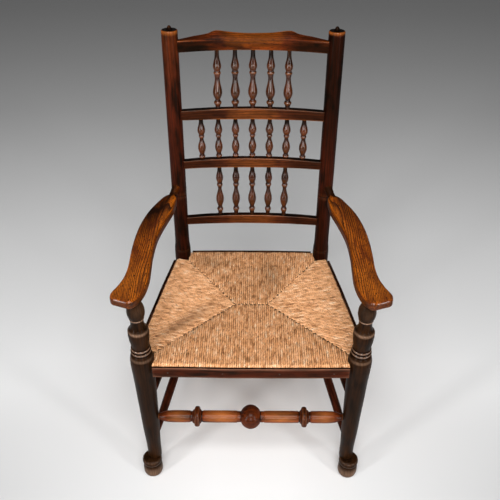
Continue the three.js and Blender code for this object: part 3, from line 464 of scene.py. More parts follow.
# Share of the visible length from the top, and radius
spindle_outlines = {
    "upper": [(0, 5.3), (0.05, 5.35), (0.11, 5.7), (0.14, 6.2), (0.18, 7.5), (0.23, 9.3), (0.27, 10.4),
              (0.3, 10.1), (0.335, 8.2), (0.355, 7.4), (0.365, 7.5), (0.375, 8.7), (0.39, 9.1),
              (0.405, 8.7), (0.415, 7.5), (0.43, 7.3), (0.455, 6.5), (0.48, 6.1), (0.54, 7),
              (0.6, 8.8), (0.65, 10.5), (0.69, 11.6), (0.725, 11.9), (0.76, 11.3), (0.79, 9.8), (0.82, 7.6),
              (0.845, 6.3), (0.86, 6.5), (0.875, 8.6), (0.895, 9.9), (0.915, 9.3), (0.935, 7.4), (0.95, 6.6),
              (0.97, 6.2), (1, 6)],
    "middle": [(0, 5.4), (0.09, 5.9), (0.15, 7.2), (0.22, 9.4), (0.28, 10.5), (0.33, 9.6), (0.37, 7.6),
               (0.395, 6.7), (0.41, 7.2), (0.43, 7.5), (0.45, 7), (0.475, 5.7), (0.5, 5.3), (0.54, 6),
               (0.6, 8.3), (0.66, 10.1), (0.71, 10.6), (0.76, 10), (0.82, 7.8), (0.86, 6.3), (0.885, 6.2),
               (0.91, 7.6), (0.935, 8.4), (0.96, 7.2), (0.98, 6.1), (1, 5.9)],
    "lower": [(0, 5.4), (0.08, 5.9), (0.13, 7.4), (0.18, 9.2), (0.225, 10.1), (0.27, 9.3), (0.31, 7.5),
              (0.335, 6.8), (0.35, 7.6), (0.37, 8.3), (0.39, 7.5), (0.41, 6), (0.45, 5.2), (0.5, 6.3),
              (0.57, 9), (0.62, 10.6), (0.665, 11.1), (0.71, 10.4), (0.76, 8.4), (0.8, 6.4), (0.825, 6.1),
              (0.85, 7.6), (0.875, 8.7), (0.9, 8), (0.92, 6.5), (0.945, 6.1), (1, 5.9)],
}
spindle_counts = {"upper": 5, "middle": 7, "lower": 5}


def new_tree(name, sizes):
    """An empty Geometry Nodes tree and its inputs: a geometry and these named ones."""
    tree = bpy.data.node_groups.new(name, "GeometryNodeTree")
    tree.is_modifier = True
    for label, kind in {"Geometry": "Geometry", **sizes}.items():
        tree.interface.new_socket(label, in_out="INPUT", socket_type=f"NodeSocket{kind}")
    tree.interface.new_socket("Geometry", in_out="OUTPUT", socket_type="NodeSocketGeometry")
    return tree, add(tree, "NodeGroupInput").node.outputs


def grown(name, mesh, tree, values):
    """Runs a tree over a mesh with these input values, and keeps the result as a plain mesh."""
    source = new_object(f"{name}_source", mesh)
    modifier = source.modifiers.new("grow", "NODES")
    modifier.node_group = tree
    for item in tree.interface.items_tree:
        if item.in_out == "INPUT" and item.name in values:
            modifier[item.identifier] = values[item.name]
    view = bpy.context.evaluated_depsgraph_get()
    plain = bpy.data.meshes.new_from_object(source.evaluated_get(view), depsgraph=view)
    source.modifiers.clear()
    bpy.data.objects.remove(source)
    plain.name = name
    return new_object(name, plain)


# The tree stands a pattern on every point, along the point's "rise" and stretched to its length, rolled
# by chance, a little thinner or thicker, and cut from another place in the wood
stand, given = new_tree("pattern_on_points", {
    "Pattern": "Object", "Thinnest": "Float", "Thickest": "Float", "Seed": "Int", "Material": "Material"})
rise = add(stand, "GeometryNodeInputNamedAttribute", {"Name": "rise"}, data_type="FLOAT_VECTOR")
length = add(stand, "ShaderNodeVectorMath", rise, out="Value", operation="LENGTH")
spin, shift = (add(stand, "FunctionNodeRandomValue", {"Min": low, "Max": high, "Seed": given["Seed"]},
                   data_type="FLOAT_VECTOR")
               for low, high in (((0, 0, 0), (0, 0, 6.28)), ((-400, -400, -400), (400, 400, 400))))
girth = add(stand, "FunctionNodeRandomValue", {
    "Min": given["Thinnest"], "Max": given["Thickest"], "Seed": given["Seed"]}, out=1)
upright = add(stand, "FunctionNodeAlignRotationToVector", {"Rotation": spin, "Vector": rise}, axis="Z")
pattern = add(stand, "GeometryNodeObjectInfo", {"Object": given["Pattern"]}, out="Geometry")
stood = add(stand, "GeometryNodeInstanceOnPoints", {
    "Points": given["Geometry"], "Instance": pattern, "Rotation": upright,
    "Scale": add(stand, "ShaderNodeCombineXYZ", girth, girth, length)})
marked = add(stand, "GeometryNodeStoreNamedAttribute", {"Geometry": stood, "Name": "shift", "Value": shift},
             data_type="FLOAT_VECTOR", domain="INSTANCE")
real = add(stand, "GeometryNodeRealizeInstances", {"Geometry": marked})
own, moved = (add(stand, "GeometryNodeInputNamedAttribute", {"Name": name}, data_type="FLOAT_VECTOR")
              for name in ("grain", "shift"))
both = add(stand, "ShaderNodeVectorMath", own, moved, operation="ADD")
grained = add(stand, "GeometryNodeStoreNamedAttribute", {"Geometry": real, "Name": "grain", "Value": both},
              data_type="FLOAT_VECTOR")
finished = add(stand, "GeometryNodeSetMaterial", {"Geometry": grained, "Material": given["Material"]})
add(stand, "NodeGroupOutput", {"Geometry": finished})


def stand_on(name, feet, rises, pattern, values):
    """One piece of patterns that stand on feet in millimetres and rise as many times their own length."""
    points = new_mesh(f"{name}_feet", feet)
    mark_points(points, "rise", rises)
    pattern.data.transform(Matrix.Translation((0, -front_line, 0)))
    piece = grown(name, points, stand, {"Pattern": pattern, **values})
    bpy.data.objects.remove(pattern)
    return piece


spindle_wood = waxed_wood(
    "stained_waxed_ash_spindles", "#140602 #461b08 #120603 #96582c #0c0503",
    pith=(14, 9), roughness=0.3, wood_lines=0.35, edge_wear=0.65, gloss=(0.75, 1.0, 0.1))
# Each tier is named after the rail it stands on
for seed, (above, (tier, count)) in enumerate(zip(rail_places, spindle_counts.items())):
    foot_height, head_height = sum(rail_places[tier][:2]), rail_places[above][0]
    length = up_post(head_height) - up_post(foot_height)
    outline = smooth_outline([((1 - down) * length, radius) for down, radius in
                              reversed(spindle_outlines[tier])], step=4)
    # Rubbed a little along its middle, and dark in its necks and at both ends
    pattern = skin(
        f"spindle_pattern_{tier}", turned(outline, lambda *way: np.stack(way, -1), around=28),
        handled=lambda a, b, s: np.interp(s / length, [0, 0.08, 0.75, 0.88], [-0.4, 0.1, 0.1, -0.4])
        - 0.5 * np.clip((7.6 - np.hypot(a, b)) / 1.6, 0, 1))
    # A pattern one metre long, so that a rise in metres brings it back to its length
    pattern.data.transform(Matrix.Diagonal((1, 1, 1000 / length, 1)))
    x = (np.arange(count) - (count - 1) / 2) * spindle_pitch
    arch = 1 - (x / clear_half_width) ** 2
    feet = leaning(x, rail_places[tier][2] * arch, up_post(foot_height) - 1 + rail_crown * arch)
    heads = leaning(x, rail_places[above][2] * arch, up_post(head_height) + 1)
    spindles = stand_on(f"turned_spindles_{tier}", feet, (heads - feet) / 1000, pattern, {
        "Thinnest": 0.975, "Thickest": 1.02, "Seed": seed, "Material": spindle_wood})
    fit(spindles, spindle_wood, "spindle_wood", *[f"spindle_{tier}_{i + 1}" for i in range(count)])


# The arms: sawn from a flat ash board to a curve, wide in front where the hand rests and drawn in to a
# round neck that enters the post. Their tops are planed, rounded at the edges and rubbed golden brown.
leg_x, arm_top, arm_rise, arm_thickness, arm_width = 270.3, 670.0, 10.0, 22.0, 60.0
neck_radius, neck_rise = 11.0, 20.0
# Way from the front leg to the post, and reach sideways from the line between them
arm_outer = [(-0.041, 0.8), (0.005, 0.88), (0.068, 0.75), (0.136, 0.67), (0.227, 0.7), (0.34, 0.84),
             (0.454, 0.955), (0.581, 1.01), (0.688, 0.967), (0.767, 0.86), (0.835, 0.7), (0.889, 0.54),
             (0.917, 0.34)]
arm_inner = [(-0.079, -0.02), (-0.032, -0.27), (0.034, -0.37), (0.125, -0.35), (0.222, -0.23),
             (0.34, -0.077), (0.465, 0.017), (0.572, 0), (0.672, -0.077), (0.76, -0.155), (0.828, -0.14),
             (0.88, -0.1), (0.908, 0.02)]
arm_post_height = arm_top + arm_rise - arm_thickness / 2
arm_rear = leaning(np.array(post_x), np.array(0.0), np.array(up_post(arm_post_height)))


def arm_edge(side, shares, count):
    """Points along one edge of an arm, on a smooth curve through its shares, close together in front."""
    front = np.array([side * leg_x, 0.0])
    rear = np.array([side * arm_rear[0], arm_rear[1]])
    p = np.array([front + (rear - front) * way + [side * out * arm_width, 0] for way, out in shares])
    points = []
    for t in [*np.linspace(0, 0.5, 18)[:-1], *np.linspace(0.5, len(p) - 1, count)]:
        i = min(int(t), len(p) - 2)
        leave, arrive = [(p[min(k + 1, len(p) - 1)] - p[max(k - 1, 0)]) / 2 for k in (i, i + 1)]
        points.append(hermite(t - i, p[i], leave, p[i + 1], arrive))
    return np.array(points)


def arm_rings(side):
    """Rings of an arm from its slanted front end to where its neck meets the post, with board grain."""
    outer, inner = arm_edge(side, arm_outer, 100), arm_edge(side, arm_inner, 100)
    neck_to = np.array([side * (arm_rear[0] + 4), arm_rear[1] - 12, arm_post_height + neck_rise])
    end_rounding, rings = 7.0, []
    for i, (o, n) in enumerate(zip(outer, inner)):
        width = np.linalg.norm(o - n)
        way = max(0, (o[1] + n[1]) / 2 / arm_rear[1])
        bottom = arm_top - arm_thickness + arm_rise * way**2
        from_end = np.linalg.norm((o + n) / 2 - (outer[0] + inner[0]) / 2)
        pull = end_rounding - math.sqrt(max(0, end_rounding**2 - max(0, end_rounding - from_end) ** 2))
        section = rounded_section(pull, bottom + 0.4 * pull, width - pull, bottom + arm_thickness - pull,
                                  [min(r, width / 2 - 1) for r in (4, 7, 7, 4)], flat=8, curve=6)
        across, up = section.T
        rings.append(np.column_stack([n + (o - n) * (across / width)[:, None], up]))
    neck_from = rings[-1].mean(0)
    square = rings[-1] - neck_from
    turn = np.linspace(0, 2 * math.pi, len(rings[0]), endpoint=False) - math.pi / 4
    inward = (outer[-1] - inner[-1]) / np.linalg.norm(outer[-1] - inner[-1])
    circle = np.column_stack([np.outer(np.cos(turn), inward), np.sin(turn)]) * neck_radius
    for t in np.linspace(0, 1, 14)[1:]:
        blend = min(1, t / 0.55)
        rings.append(neck_from * (1 - t) + neck_to * t + square * (1 - blend) + circle * blend)
    rings = np.array(rings)
    return rings, np.stack([rings[..., 0] * side, rings[..., 2] - arm_top, rings[..., 1]], -1)


def handled_arm(out, up, back, dirty):
    """Rubbed light on top towards the front and along the inner edge, dark at its sides and neck, and at
    its rear by how dirty it is."""
    lifted = arm_rise * (np.maximum(back, 0) / arm_rear[1]) ** 2
    on_top = np.clip((up - lifted + 5) / 5, 0, 1)
    edges = [arm_edge(1, shares, 60).T for shares in (arm_inner, arm_outer)]
    inner, outer = (np.interp(back, edge[1], edge[0]) for edge in edges)
    across = np.clip((out - inner) / np.maximum(outer - inner, 5), 0, 1)
    light = 0.4 * near(back, 40, 80) + 0.35 * near(across, 0.18, 0.12) * (back > 150)
    dirt = np.clip((back - 150) / 170, 0, 1) * np.clip((across - 0.2) / 0.3, 0, 1)
    return on_top * (light - dirt * dirty) - 0.7 * (1 - on_top) - 1.2 * np.clip((back - 392) / 12, 0, 1)


arm_wood = waxed_wood(
    "golden_waxed_ash_arms", "#682c07 #bd600f #220c03 #bd6d20 #1c0b04",
    ring=2.6, pith=(-236, 60), roughness=0.36, wood_lines=1.25, edge_wear=0.4, tilt=0.02,
    pore_length=7, gloss=(0.8, 1.0, 0.17))
for (name, side), dirty in zip(sides, (1.0, 0.5)):
    arm = skin(f"shaped_arm_{name}", arm_rings(side), seed=0.12 + 0.14 * side,
               handled=lambda out, up, back: handled_arm(out, up, back, dirty))
    fit(arm, arm_wood, "golden_wood", f"arm_{name}")


# The front legs: each one turning from floor to arm, a swelling shank under the seat and a baluster over
# it. The pad foot was turned on a second centre, so it stands forward and outward of the shank.
shoulder_height, shoulder_radius, support_length = 451.0, 30.0, 196.7
foot_radius, foot_height, foot_out, foot_forward = 26.9, 69.0, 7.5, 12.0
shank_shares = [(0.115, 0.5), (0.133, 0.6), (0.155, 0.63), (0.213, 0.633), (0.395, 0.733), (0.663, 0.843),
                (0.887, 0.94), (0.953, 0.987)]
support_shares = [
    (0, 1), (0.03, 0.99), (0.051, 0.973), (0.091, 0.92), (0.122, 0.85), (0.137, 0.76), (0.152, 0.753),
    (0.162, 0.82), (0.175, 0.845), (0.188, 0.83), (0.2, 0.747), (0.208, 0.74), (0.218, 0.78),
    (0.228, 0.79), (0.239, 0.773), (0.249, 0.707), (0.269, 0.72), (0.335, 0.78), (0.406, 0.84),
    (0.477, 0.86), (0.528, 0.84), (0.548, 0.76), (0.558, 0.687), (0.594, 0.587), (0.635, 0.54),
    (0.7, 0.533), (0.712, 0.585), (0.722, 0.6), (0.732, 0.58), (0.739, 0.575), (0.751, 0.63),
    (0.777, 0.68), (0.817, 0.717), (0.858, 0.707), (0.904, 0.653), (0.944, 0.56), (1, 0.473)]
foot_shares = [
    (0, 0.62), (0.012, 0.67), (0.043, 0.82), (0.13, 0.948), (0.26, 1), (0.435, 0.99), (0.58, 0.93),
    (0.65, 0.88), (0.667, 0.85), (0.69, 0.86), (0.71, 0.9), (0.74, 0.967), (0.826, 1), (0.913, 0.967),
    (0.97, 0.855), (1, 0.706)]
leg_outline = smooth_outline(
    [(up * shoulder_height, out * shoulder_radius) for up, out in shank_shares]
    + [(shoulder_height + up * support_length, out * shoulder_radius) for up, out in support_shares])
foot_outline = smooth_outline([(up * foot_height, out * foot_radius) for up, out in foot_shares], step=4)


def leg_wear_and_highlights(a, b, s):
    """Scuffed light round the foot except in its groove, with painted highlights in front on every shoulder
    and ring, dark down the shank."""
    foot = 0.55 * near(s, 15, 22, 4) - 0.3 * near(s, 46, 4)
    # Painted highlights: light arcs on the front of each shoulder and ring
    painted_ring_highlights = sum(much * near(s, height, wide) for height, wide, much in (
        (467, 4, 0.5), (485.5, 2.5, 0.3), (495.8, 2.5, 0.3), (555.5, 3, 0.7), (593, 2, 0.8),
        (625, 18, 0.1)))
    return foot + painted_ring_highlights * (0.5 - 0.5 * b / np.hypot(a, b)) - 0.35 * near(s, 300, 130)


leg_wood = waxed_wood(
    "stained_waxed_ash_legs", "#120803 #2e190a #0a0603 #8c6c56 #070403",
    ring=6.0, pith=(50, -22), roughness=0.36, wood_lines=0.4, edge_wear=1.6, gloss=(0.04, 1.0, 0.15))
for name, side in sides:
    parts = [turned(outline, lambda a, b, s: np.stack([side * (leg_x + out) + a, b - forward, s], -1),
                    around=56, seed=3.0 + side)
             for outline, out, forward in ((leg_outline, 0, 0), (foot_outline, foot_out, foot_forward))]
    leg = skin(f"turned_front_leg_{name}", *parts, handled=leg_wear_and_highlights, seed=3.0 + side)
    fit(leg, leg_wood, "dark_wood", f"front_leg_{name}")


# The four seat rails inside the rush: bare ash, riven and shaved, never stained because the rush hides
# them. Their solids keep their shape; the grain follows each rail.
def speckled(name, scales, detail, dark, light, bump, even, turn=(0, 0, 0)):
    """A material whose tone and relief (strength, depth) come from one noise, scaled per metre."""
    material, tree, shader = new_material(name, even)
    where = add(tree, "ShaderNodeMapping", {
        "Vector": add(tree, "ShaderNodeTexCoord", out="Object"), "Rotation": turn})
    scaled = add(tree, "ShaderNodeVectorMath", where, scales, operation="MULTIPLY")
    bits = add(tree, "ShaderNodeTexNoise", {"Vector": scaled, "Scale": 1.0, "Detail": detail})
    tone = add(tree, "ShaderNodeValToRGB", bits, stops=[dark, light])
    relief = add(tree, "ShaderNodeBump", {"Height": bits, "Strength": bump[0], "Distance": bump[1]})
    set_inputs(shader, {"Base Color": tone, "Normal": relief})
    return material


# Fibres 110 mm long and 2.4 mm apart
for direction, turn, names in (
        ("across", 0, ("front", "rear")), ("deep", math.pi / 2, ("right", "left"))):
    bare = speckled(f"bare_riven_ash_{direction}", (9, 420, 420), 3, (0.3, "#5a3c22"), (0.7, "#8a6440"),
                    (0.5, 0.0005), {"Roughness": 0.7}, (0, 0, turn))
    for name in names:
        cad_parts[f"seat_rail_{name}"].material_slots[0].material = bare


# The rush seat: two bulrush leaves twisted into one strand, wound over the rails from the corners to the
# middle, so that it makes four panels which meet in seams. Broken rush is stuffed between its layers.
rail_centre, strand_radius, strand_pitch = 436.8, 2.95, 5.5
seat_bow, rush_out, rush_half, seam_drop, seam_gap = 3.5, 15.2, 15.2, 3.4, 1.8
seam_middle = np.array([44.0, 212.0])
post_seat_y = 423.7
seat_sides = {
    "front": ((-leg_x, -4.0), (leg_x, -4.0)),
    "right": ((leg_x + 4.6, 0.0), (post_x - 1.4, post_seat_y)),
    "rear": ((post_x, post_seat_y), (-post_x, post_seat_y)),
    "left": ((1.4 - post_x, post_seat_y), (-leg_x - 4.6, 0.0)),
}


def side_frame(name):
    """Start, direction and outward direction of one side of the seat, and its length."""
    start, end = (np.array(p, float) for p in seat_sides[name])
    length = np.linalg.norm(end - start)
    along = (end - start) / length
    return start, along, np.array([along[1], -along[0]]), length


def beside(name, t, out):
    """A point at a share of the way along a side of the seat, that far out from it and from its bow."""
    start, along, outward, length = side_frame(name)
    return start + along * length * t + outward * (out + seat_bow * 4 * t * (1 - t))


def cross(a, b):
    """The flat cross product of two directions."""
    return a[0] * b[1] - a[1] * b[0]


def corner_of(one, other):
    """Where the outer edges of the rush of two sides would meet."""
    p, u, outward, _ = side_frame(one)
    q, v, other_out, _ = side_frame(other)
    a, b = p + outward * rush_out, q + other_out * rush_out
    return a + u * cross(b - a, v) / cross(u, v)


def dip(share, length):
    """How far the rush lies under its crown at a share of the way from its edge to the seam. Strands of
    less than 90 mm, near the corners, have less of a crown."""
    fullness = min(1, length / 90)
    seam = seam_drop * max(0, (share - 0.4) / 0.6) ** 2
    return fullness * seam + (1 - fullness) * seam_drop * share


front_left, front_right = corner_of("front", "left"), corner_of("front", "right")
rear_left, rear_right = corner_of("rear", "left"), corner_of("rear", "right")
seam_left, seam_right = seam_middle * [-1, 1], seam_middle
# For each panel: its seam's corners, and how far from the axes of the legs its first and last strands lie
panels = {
    "front": ([front_left, seam_left, seam_right, front_right], 28.5, 28.5),
    "right": ([front_right, seam_right, rear_right], 27.0, 24.0),
    "rear": ([rear_right, seam_right, seam_left, rear_left], 21.5, 21.5),
    "left": ([rear_left, seam_left, front_left], 24.0, 27.0),
}


def reach_to(seam, start, way):
    """Distance from a point, in a direction, to where it meets the seam."""
    found = []
    for a, b in zip(seam, seam[1:]):
        t, u = (cross(a - start, line) / cross(way, b - a) for line in (b - a, way))
        if -0.001 <= u <= 1.001 and t > 0:
            found.append(t)
    return min(found)


def dented_and_shaded(x, y):
    """Where use has dented the rush and shade is painted on it: a fold by the left front seam, and dents at
    the rear.
    """
    seam = front_left - seam_left
    from_seam = cross((x, y) - seam_left, seam) / np.linalg.norm(seam)
    dents = near(x, 58, 24) * near(y, 340, 75) + near(x, -125, 45) * near(y, 395, 35)
    return near(from_seam, 40, 20) * near(x, -185, 75) + 0.6 * dents


def sag(x, y):
    """How far the seat has sunk: its broad hollow and its dents."""
    return 2.5 * near(x, 0, 150) * near(y, 190, 130) + 3.8 * dented_and_shaded(x, y)


def strand_path(name, seam, s, stray):
    """One strand as points in millimetres: from the seam below, round the rail's outer face, to the seam
    above, where it dives early or late by how far it strays."""
    _, _, outward, length = side_frame(name)
    edge = beside(name, s / length, rush_out - strand_radius)
    reach = reach_to(seam, edge, -outward) - seam_gap - stray
    level, corner_radius, dive, step = rush_half - strand_radius, 6.5, 3.6, 3.3
    top = []
    for s in np.arange(corner_radius, max(corner_radius + 1, reach - dive), step):
        x, y = edge - outward * s
        uneven = 0.8 * noise.noise((x / 45, y / 45, 2.0))
        loose = min(1, s / 60)  # the rail holds the rush up near it
        top.append((s, level - dip(s / max(reach, 1), reach) + uneven - sag(x, y) * loose))
    lowest = top[-1][1]
    for angle in np.linspace(0.4, math.pi / 2, 4):
        top.append((reach - dive + dive * math.sin(angle), lowest - dive * (1 - math.cos(angle))))
    top.append((reach, lowest - dive - 4))
    round_edge = [(corner_radius * (1 - math.cos(t)), level - corner_radius * (1 - math.sin(t)))
                  for t in np.linspace(0.15, math.pi / 2, 5)[:-1]]
    face = [(0, up) for up in np.linspace(-level + corner_radius, level - corner_radius, 3)]
    under = [p for i, p in enumerate([(s, -up) for s, up in top[::-1]]) if i % 2 == 0 or i < 6]
    path = under + [(s, -up) for s, up in round_edge[::-1]] + face + round_edge + top
    return [(*(edge - outward * s), rail_centre + up) for s, up in path]


# The tree makes a twisted strand along every line: uneven in thickness, wandering a little from its
# neighbours, and lobed by its two leaves, with about one turn in 26 mm
wound, given = new_tree("wound_rush", {"Radius": "Float", "Turn": "Float", "Unevenness": "Float",
                                       "Wander": "Float", "Seed": "Int", "Material": "Material"})
lines = add(wound, "GeometryNodeMeshToCurve", {"Mesh": given["Geometry"]})
where = add(wound, "GeometryNodeInputPosition")
loose = add(wound, "ShaderNodeTexNoise", {"Vector": where, "Scale": 110.0, "Detail": 2.0}, out="Color")
centred = add(wound, "ShaderNodeVectorMath", loose, (-0.5, -0.5, -0.5), operation="ADD")
drift = add(wound, "ShaderNodeVectorMath", {0: centred, "Scale": given["Wander"]}, operation="SCALE")
laid = add(wound, "GeometryNodeSetPosition", {"Geometry": lines, "Offset": drift})
thick = add(wound, "ShaderNodeTexNoise", {"Vector": where, "Scale": 75.0, "Detail": 1.0})
uneven = add(wound, "ShaderNodeMath", thick, -0.5, operation="ADD")
swell = add(wound, "ShaderNodeMath", uneven, given["Unevenness"], 1.0, operation="MULTIPLY_ADD")
sized = add(wound, "ShaderNodeMath", swell, given["Radius"], operation="MULTIPLY")
which = add(wound, "GeometryNodeInputNamedAttribute", {"Name": "strand"})
start_turn = add(wound, "FunctionNodeRandomValue", {
    "Min": 0.0, "Max": 6.28, "ID": which, "Seed": given["Seed"]}, out=1)
run = add(wound, "GeometryNodeSplineParameter", out="Length")
turning = add(wound, "ShaderNodeMath", run, given["Turn"], start_turn, operation="MULTIPLY_ADD")
tilted = add(wound, "GeometryNodeSetCurveTilt", {"Curve": laid, "Tilt": turning})
lobes = add(wound, "GeometryNodeCurveStar", {
    "Points": 4, "Inner Radius": 0.84, "Outer Radius": 1.08, "Twist": 0.0})
round_share = add(wound, "GeometryNodeSplineParameter", out="Factor")
kept, lobed = (
    add(wound, "GeometryNodeStoreNamedAttribute", {"Geometry": curve, "Name": name, "Value": value})
    for curve, name, value in ((tilted, "run", run), (lobes, "around", round_share)))
rope = add(wound, "GeometryNodeCurveToMesh", {
    "Curve": kept, "Profile Curve": lobed, "Scale": sized, "Fill Caps": True})
soft = add(wound, "GeometryNodeSetShadeSmooth", {"Geometry": rope, "Shade Smooth": True})
real = add(wound, "GeometryNodeRealizeInstances", {"Geometry": soft})
finished = add(wound, "GeometryNodeSetMaterial", {"Geometry": real, "Material": given["Material"]})
add(wound, "NodeGroupOutput", {"Geometry": finished})

rush, tree, shader = new_material("twisted_dry_bulrush", {"Roughness": 0.62, "Specular IOR Level": 0.35})
strand, run, around, greyed = (add(tree, "ShaderNodeAttribute", out="Fac", attribute_name=mark)
                               for mark in ("strand", "run", "around", "greyed"))
# Leaf colour changes every 30 mm along a strand and from strand to strand; fibres are drawn 12 mm long
tones = []
for detail, marks in ((2.0, ((strand, 3.7), (run, 34.0))),
                      (3.0, ((strand, 9.1), (run, 85.0), (around, 6.0)))):
    place = add(tree, "ShaderNodeCombineXYZ", *[
        add(tree, "ShaderNodeMath", mark, times, operation="MULTIPLY") for mark, times in marks])
    tones.append(add(tree, "ShaderNodeTexNoise", {"Vector": place, "Scale": 1.0, "Detail": detail}))
leaf, fibre = tones
straw = add(tree, "ShaderNodeValToRGB", leaf, stops=[
    (0.28, "#a87246"), (0.44, "#e2a570"), (0.6, "#f4bd8c"), (0.76, "#fddcb4")])
fibres = add(tree, "ShaderNodeValToRGB", fibre, stops=[(0.3, "#7c5228"), (0.5, "#ffffff")])
shaded = add(tree, "ShaderNodeMix", {0: 0.68, 6: straw, 7: fibres}, out=2, data_type="RGBA",
             blend_type="MULTIPLY")
# Painted shade: the rush is darkened in its fold and dents
shade_amount = add(tree, "ShaderNodeMath", greyed, 0.56, operation="MULTIPLY", use_clamp=True)
shaded = add(tree, "ShaderNodeMix", {0: shade_amount, 6: shaded, 7: "#5c3d22"}, out=2, data_type="RGBA")
relief = add(tree, "ShaderNodeBump", {"Height": fibre, "Strength": 0.6, "Distance": 0.0005})
set_inputs(shader, {"Base Color": shaded, "Normal": relief})

for seed, (name, (seam, first_in, last_in)) in enumerate(panels.items()):
    length = side_frame(name)[3]
    count = round((length - first_in - last_in) / strand_pitch)
    points, links, owners, greyed = [], [], [], []
    for k in range(count + 1):
        # Strands dive early and late by turns
        stray = 1.4 * (-1) ** k + 1.2 * noise.noise((k * 0.9, seed * 7.0, 0))
        path = strand_path(name, seam, first_in + (length - first_in - last_in) * k / count, stray)
        links += [(len(points) + i, len(points) + i + 1) for i in range(len(path) - 1)]
        points += path
        owners += [k + 200 * seed] * len(path)
        greyed += [dented_and_shaded(x, y) for x, y, _ in path]
    lines = new_mesh(f"rush_lines_{name}", points, links)
    mark_points(lines, "strand", owners)
    mark_points(lines, "greyed", greyed)
    panel = grown(f"rush_panel_{name}", lines, wound, {
        "Radius": strand_radius / 1000, "Turn": 2 * math.pi / 0.026, "Unevenness": 0.7, "Wander": 0.003,
        "Seed": seed, "Material": rush})
    fit(panel, rush, "rush", "rush_seat")

# The stuffing, a closed pad between the upper and lower layers that shows only as brown in the gaps
stuffing_drop, stuffing_in = 4.4, 5.5
corners = np.array([beside(name, t, rush_out - stuffing_in) for name in seat_sides
                    for t in np.linspace(0.09, 0.91, 30)])
middle_line = np.clip(corners[:, :1], -seam_middle[0], seam_middle[0])
inner = np.column_stack([middle_line, np.full(len(corners), seam_middle[1])])
upper = [(t, rush_half - stuffing_drop - 1.5 * (1 - t) ** 0.5 - (2 if t == 1 else 0))
         for t in (1, 0.9, 0.75, 0.55, 0.3, 0.12, 0.02)]
pad_rings = []
for t, up in [(t, -up) for t, up in upper[::-1]] + upper:
    flat = inner + (corners - inner) * t
    sunk = np.array([sag(x, y) for x, y in flat]) * (0 if t == 1 else math.copysign(1, up))
    pad_rings.append(np.column_stack([flat, rail_centre + up - sunk]))
broken_rush = speckled("broken_rush_stuffing", (260, 260, 260), 4, (0.35, "#3c2713"), (0.7, "#7a5a34"),
                       (0.8, 0.001), {"Roughness": 0.9})
stuffing = skin("rush_stuffing", (np.array(pad_rings), np.array(pad_rings)))
fit(stuffing, broken_rush, "rush", "rush_seat")


# The edging strips: thin ash laths bent round the seat over the strands' outer faces, so that clothes
# and knees don't fray the rush. Each is nailed to the rail behind it.
strip_out, strip_thickness, strip_height, strip_top, strip_end = 15.5, 6.5, 33.0, 448.5, 27.0


def handled_strip(out, up, s):
    """Darker along the top beside the rush."""
    return -0.8 * (up > strip_top - 1) * (out < strip_out + strip_thickness - 1)


strip_wood = waxed_wood(
    "stained_ash_laths", "#190903 #42190a #110602 #8a5c44 #080402",
    ring=4.0, pith=(20, -40), roughness=0.48, gloss=(0.02, 0.2, 0.25))
section = rounded_section(strip_out, strip_top - strip_height, strip_out + strip_thickness, strip_top,
                          (1.8, 1.8, 1.2, 1.2), flat=4, curve=3)
for seed, name in enumerate(seat_sides):
    rings, grains, length = [], [], side_frame(name)[3]
    for s in np.linspace(strip_end, length - strip_end, 61):
        out = section[:, :1] + 0.5 * noise.noise((s / 60, seed * 5.0, 0))
        lift = 0.6 * noise.noise((s / 90, seed * 5.0, 9.0))
        rings.append(np.column_stack([beside(name, s / length, out), section[:, 1] + lift]))
        grains.append(np.column_stack([section, np.full(len(section), s)]))
    strip = skin(f"bent_edging_strip_{name}", (np.array(rings), np.array(grains)), seed=seed,
                 handled=handled_strip)
    fit(strip, strip_wood, "strip_wood", f"edging_strip_{name}")


# The nails in the strips: small cut iron brads, hammered nearly flush, dark with age. Their heads stand
# along the middle of each strip.
nail_shares = {"front": (0.12, 0.37, 0.63, 0.88), "right": (0.2, 0.8), "rear": (0.2, 0.5, 0.8),
               "left": (0.2, 0.8)}
head_radius, head_rise, nail_reach = 2.1, 0.7, 19.0
nail_outline = smooth_outline([(-nail_reach, 0.4), (-nail_reach + 4, 1.1), (-0.3, 1.1), (-0.1, head_radius),
                               (0.2, head_radius), (head_rise, 1.1)], step=6)
one_nail = skin("nail_pattern", turned(nail_outline, lambda *way: np.stack(way, -1), around=12))
heads, ways = [], []
for name, places in nail_shares.items():
    for t in places:
        heads.append([*beside(name, t, strip_out + strip_thickness + 0.1), strip_top - strip_height / 2])
        ways.append((*side_frame(name)[2], 0))
iron = speckled("aged_cut_iron", (900, 900, 900), 3, (0.35, "#2b211b"), (0.7, "#554a42"), (0.5, 0.0003),
                {"Metallic": 0.9, "Roughness": 0.5})
nails = stand_on("strip_nails", heads, ways, one_nail, {
    "Thinnest": 0.85, "Thickest": 1.1, "Seed": 4, "Material": iron})
fit(nails, iron, "nail_iron", *[f"strip_nail_{name}_{i + 1}" for name, places in nail_shares.items()
                                for i in range(len(places))])


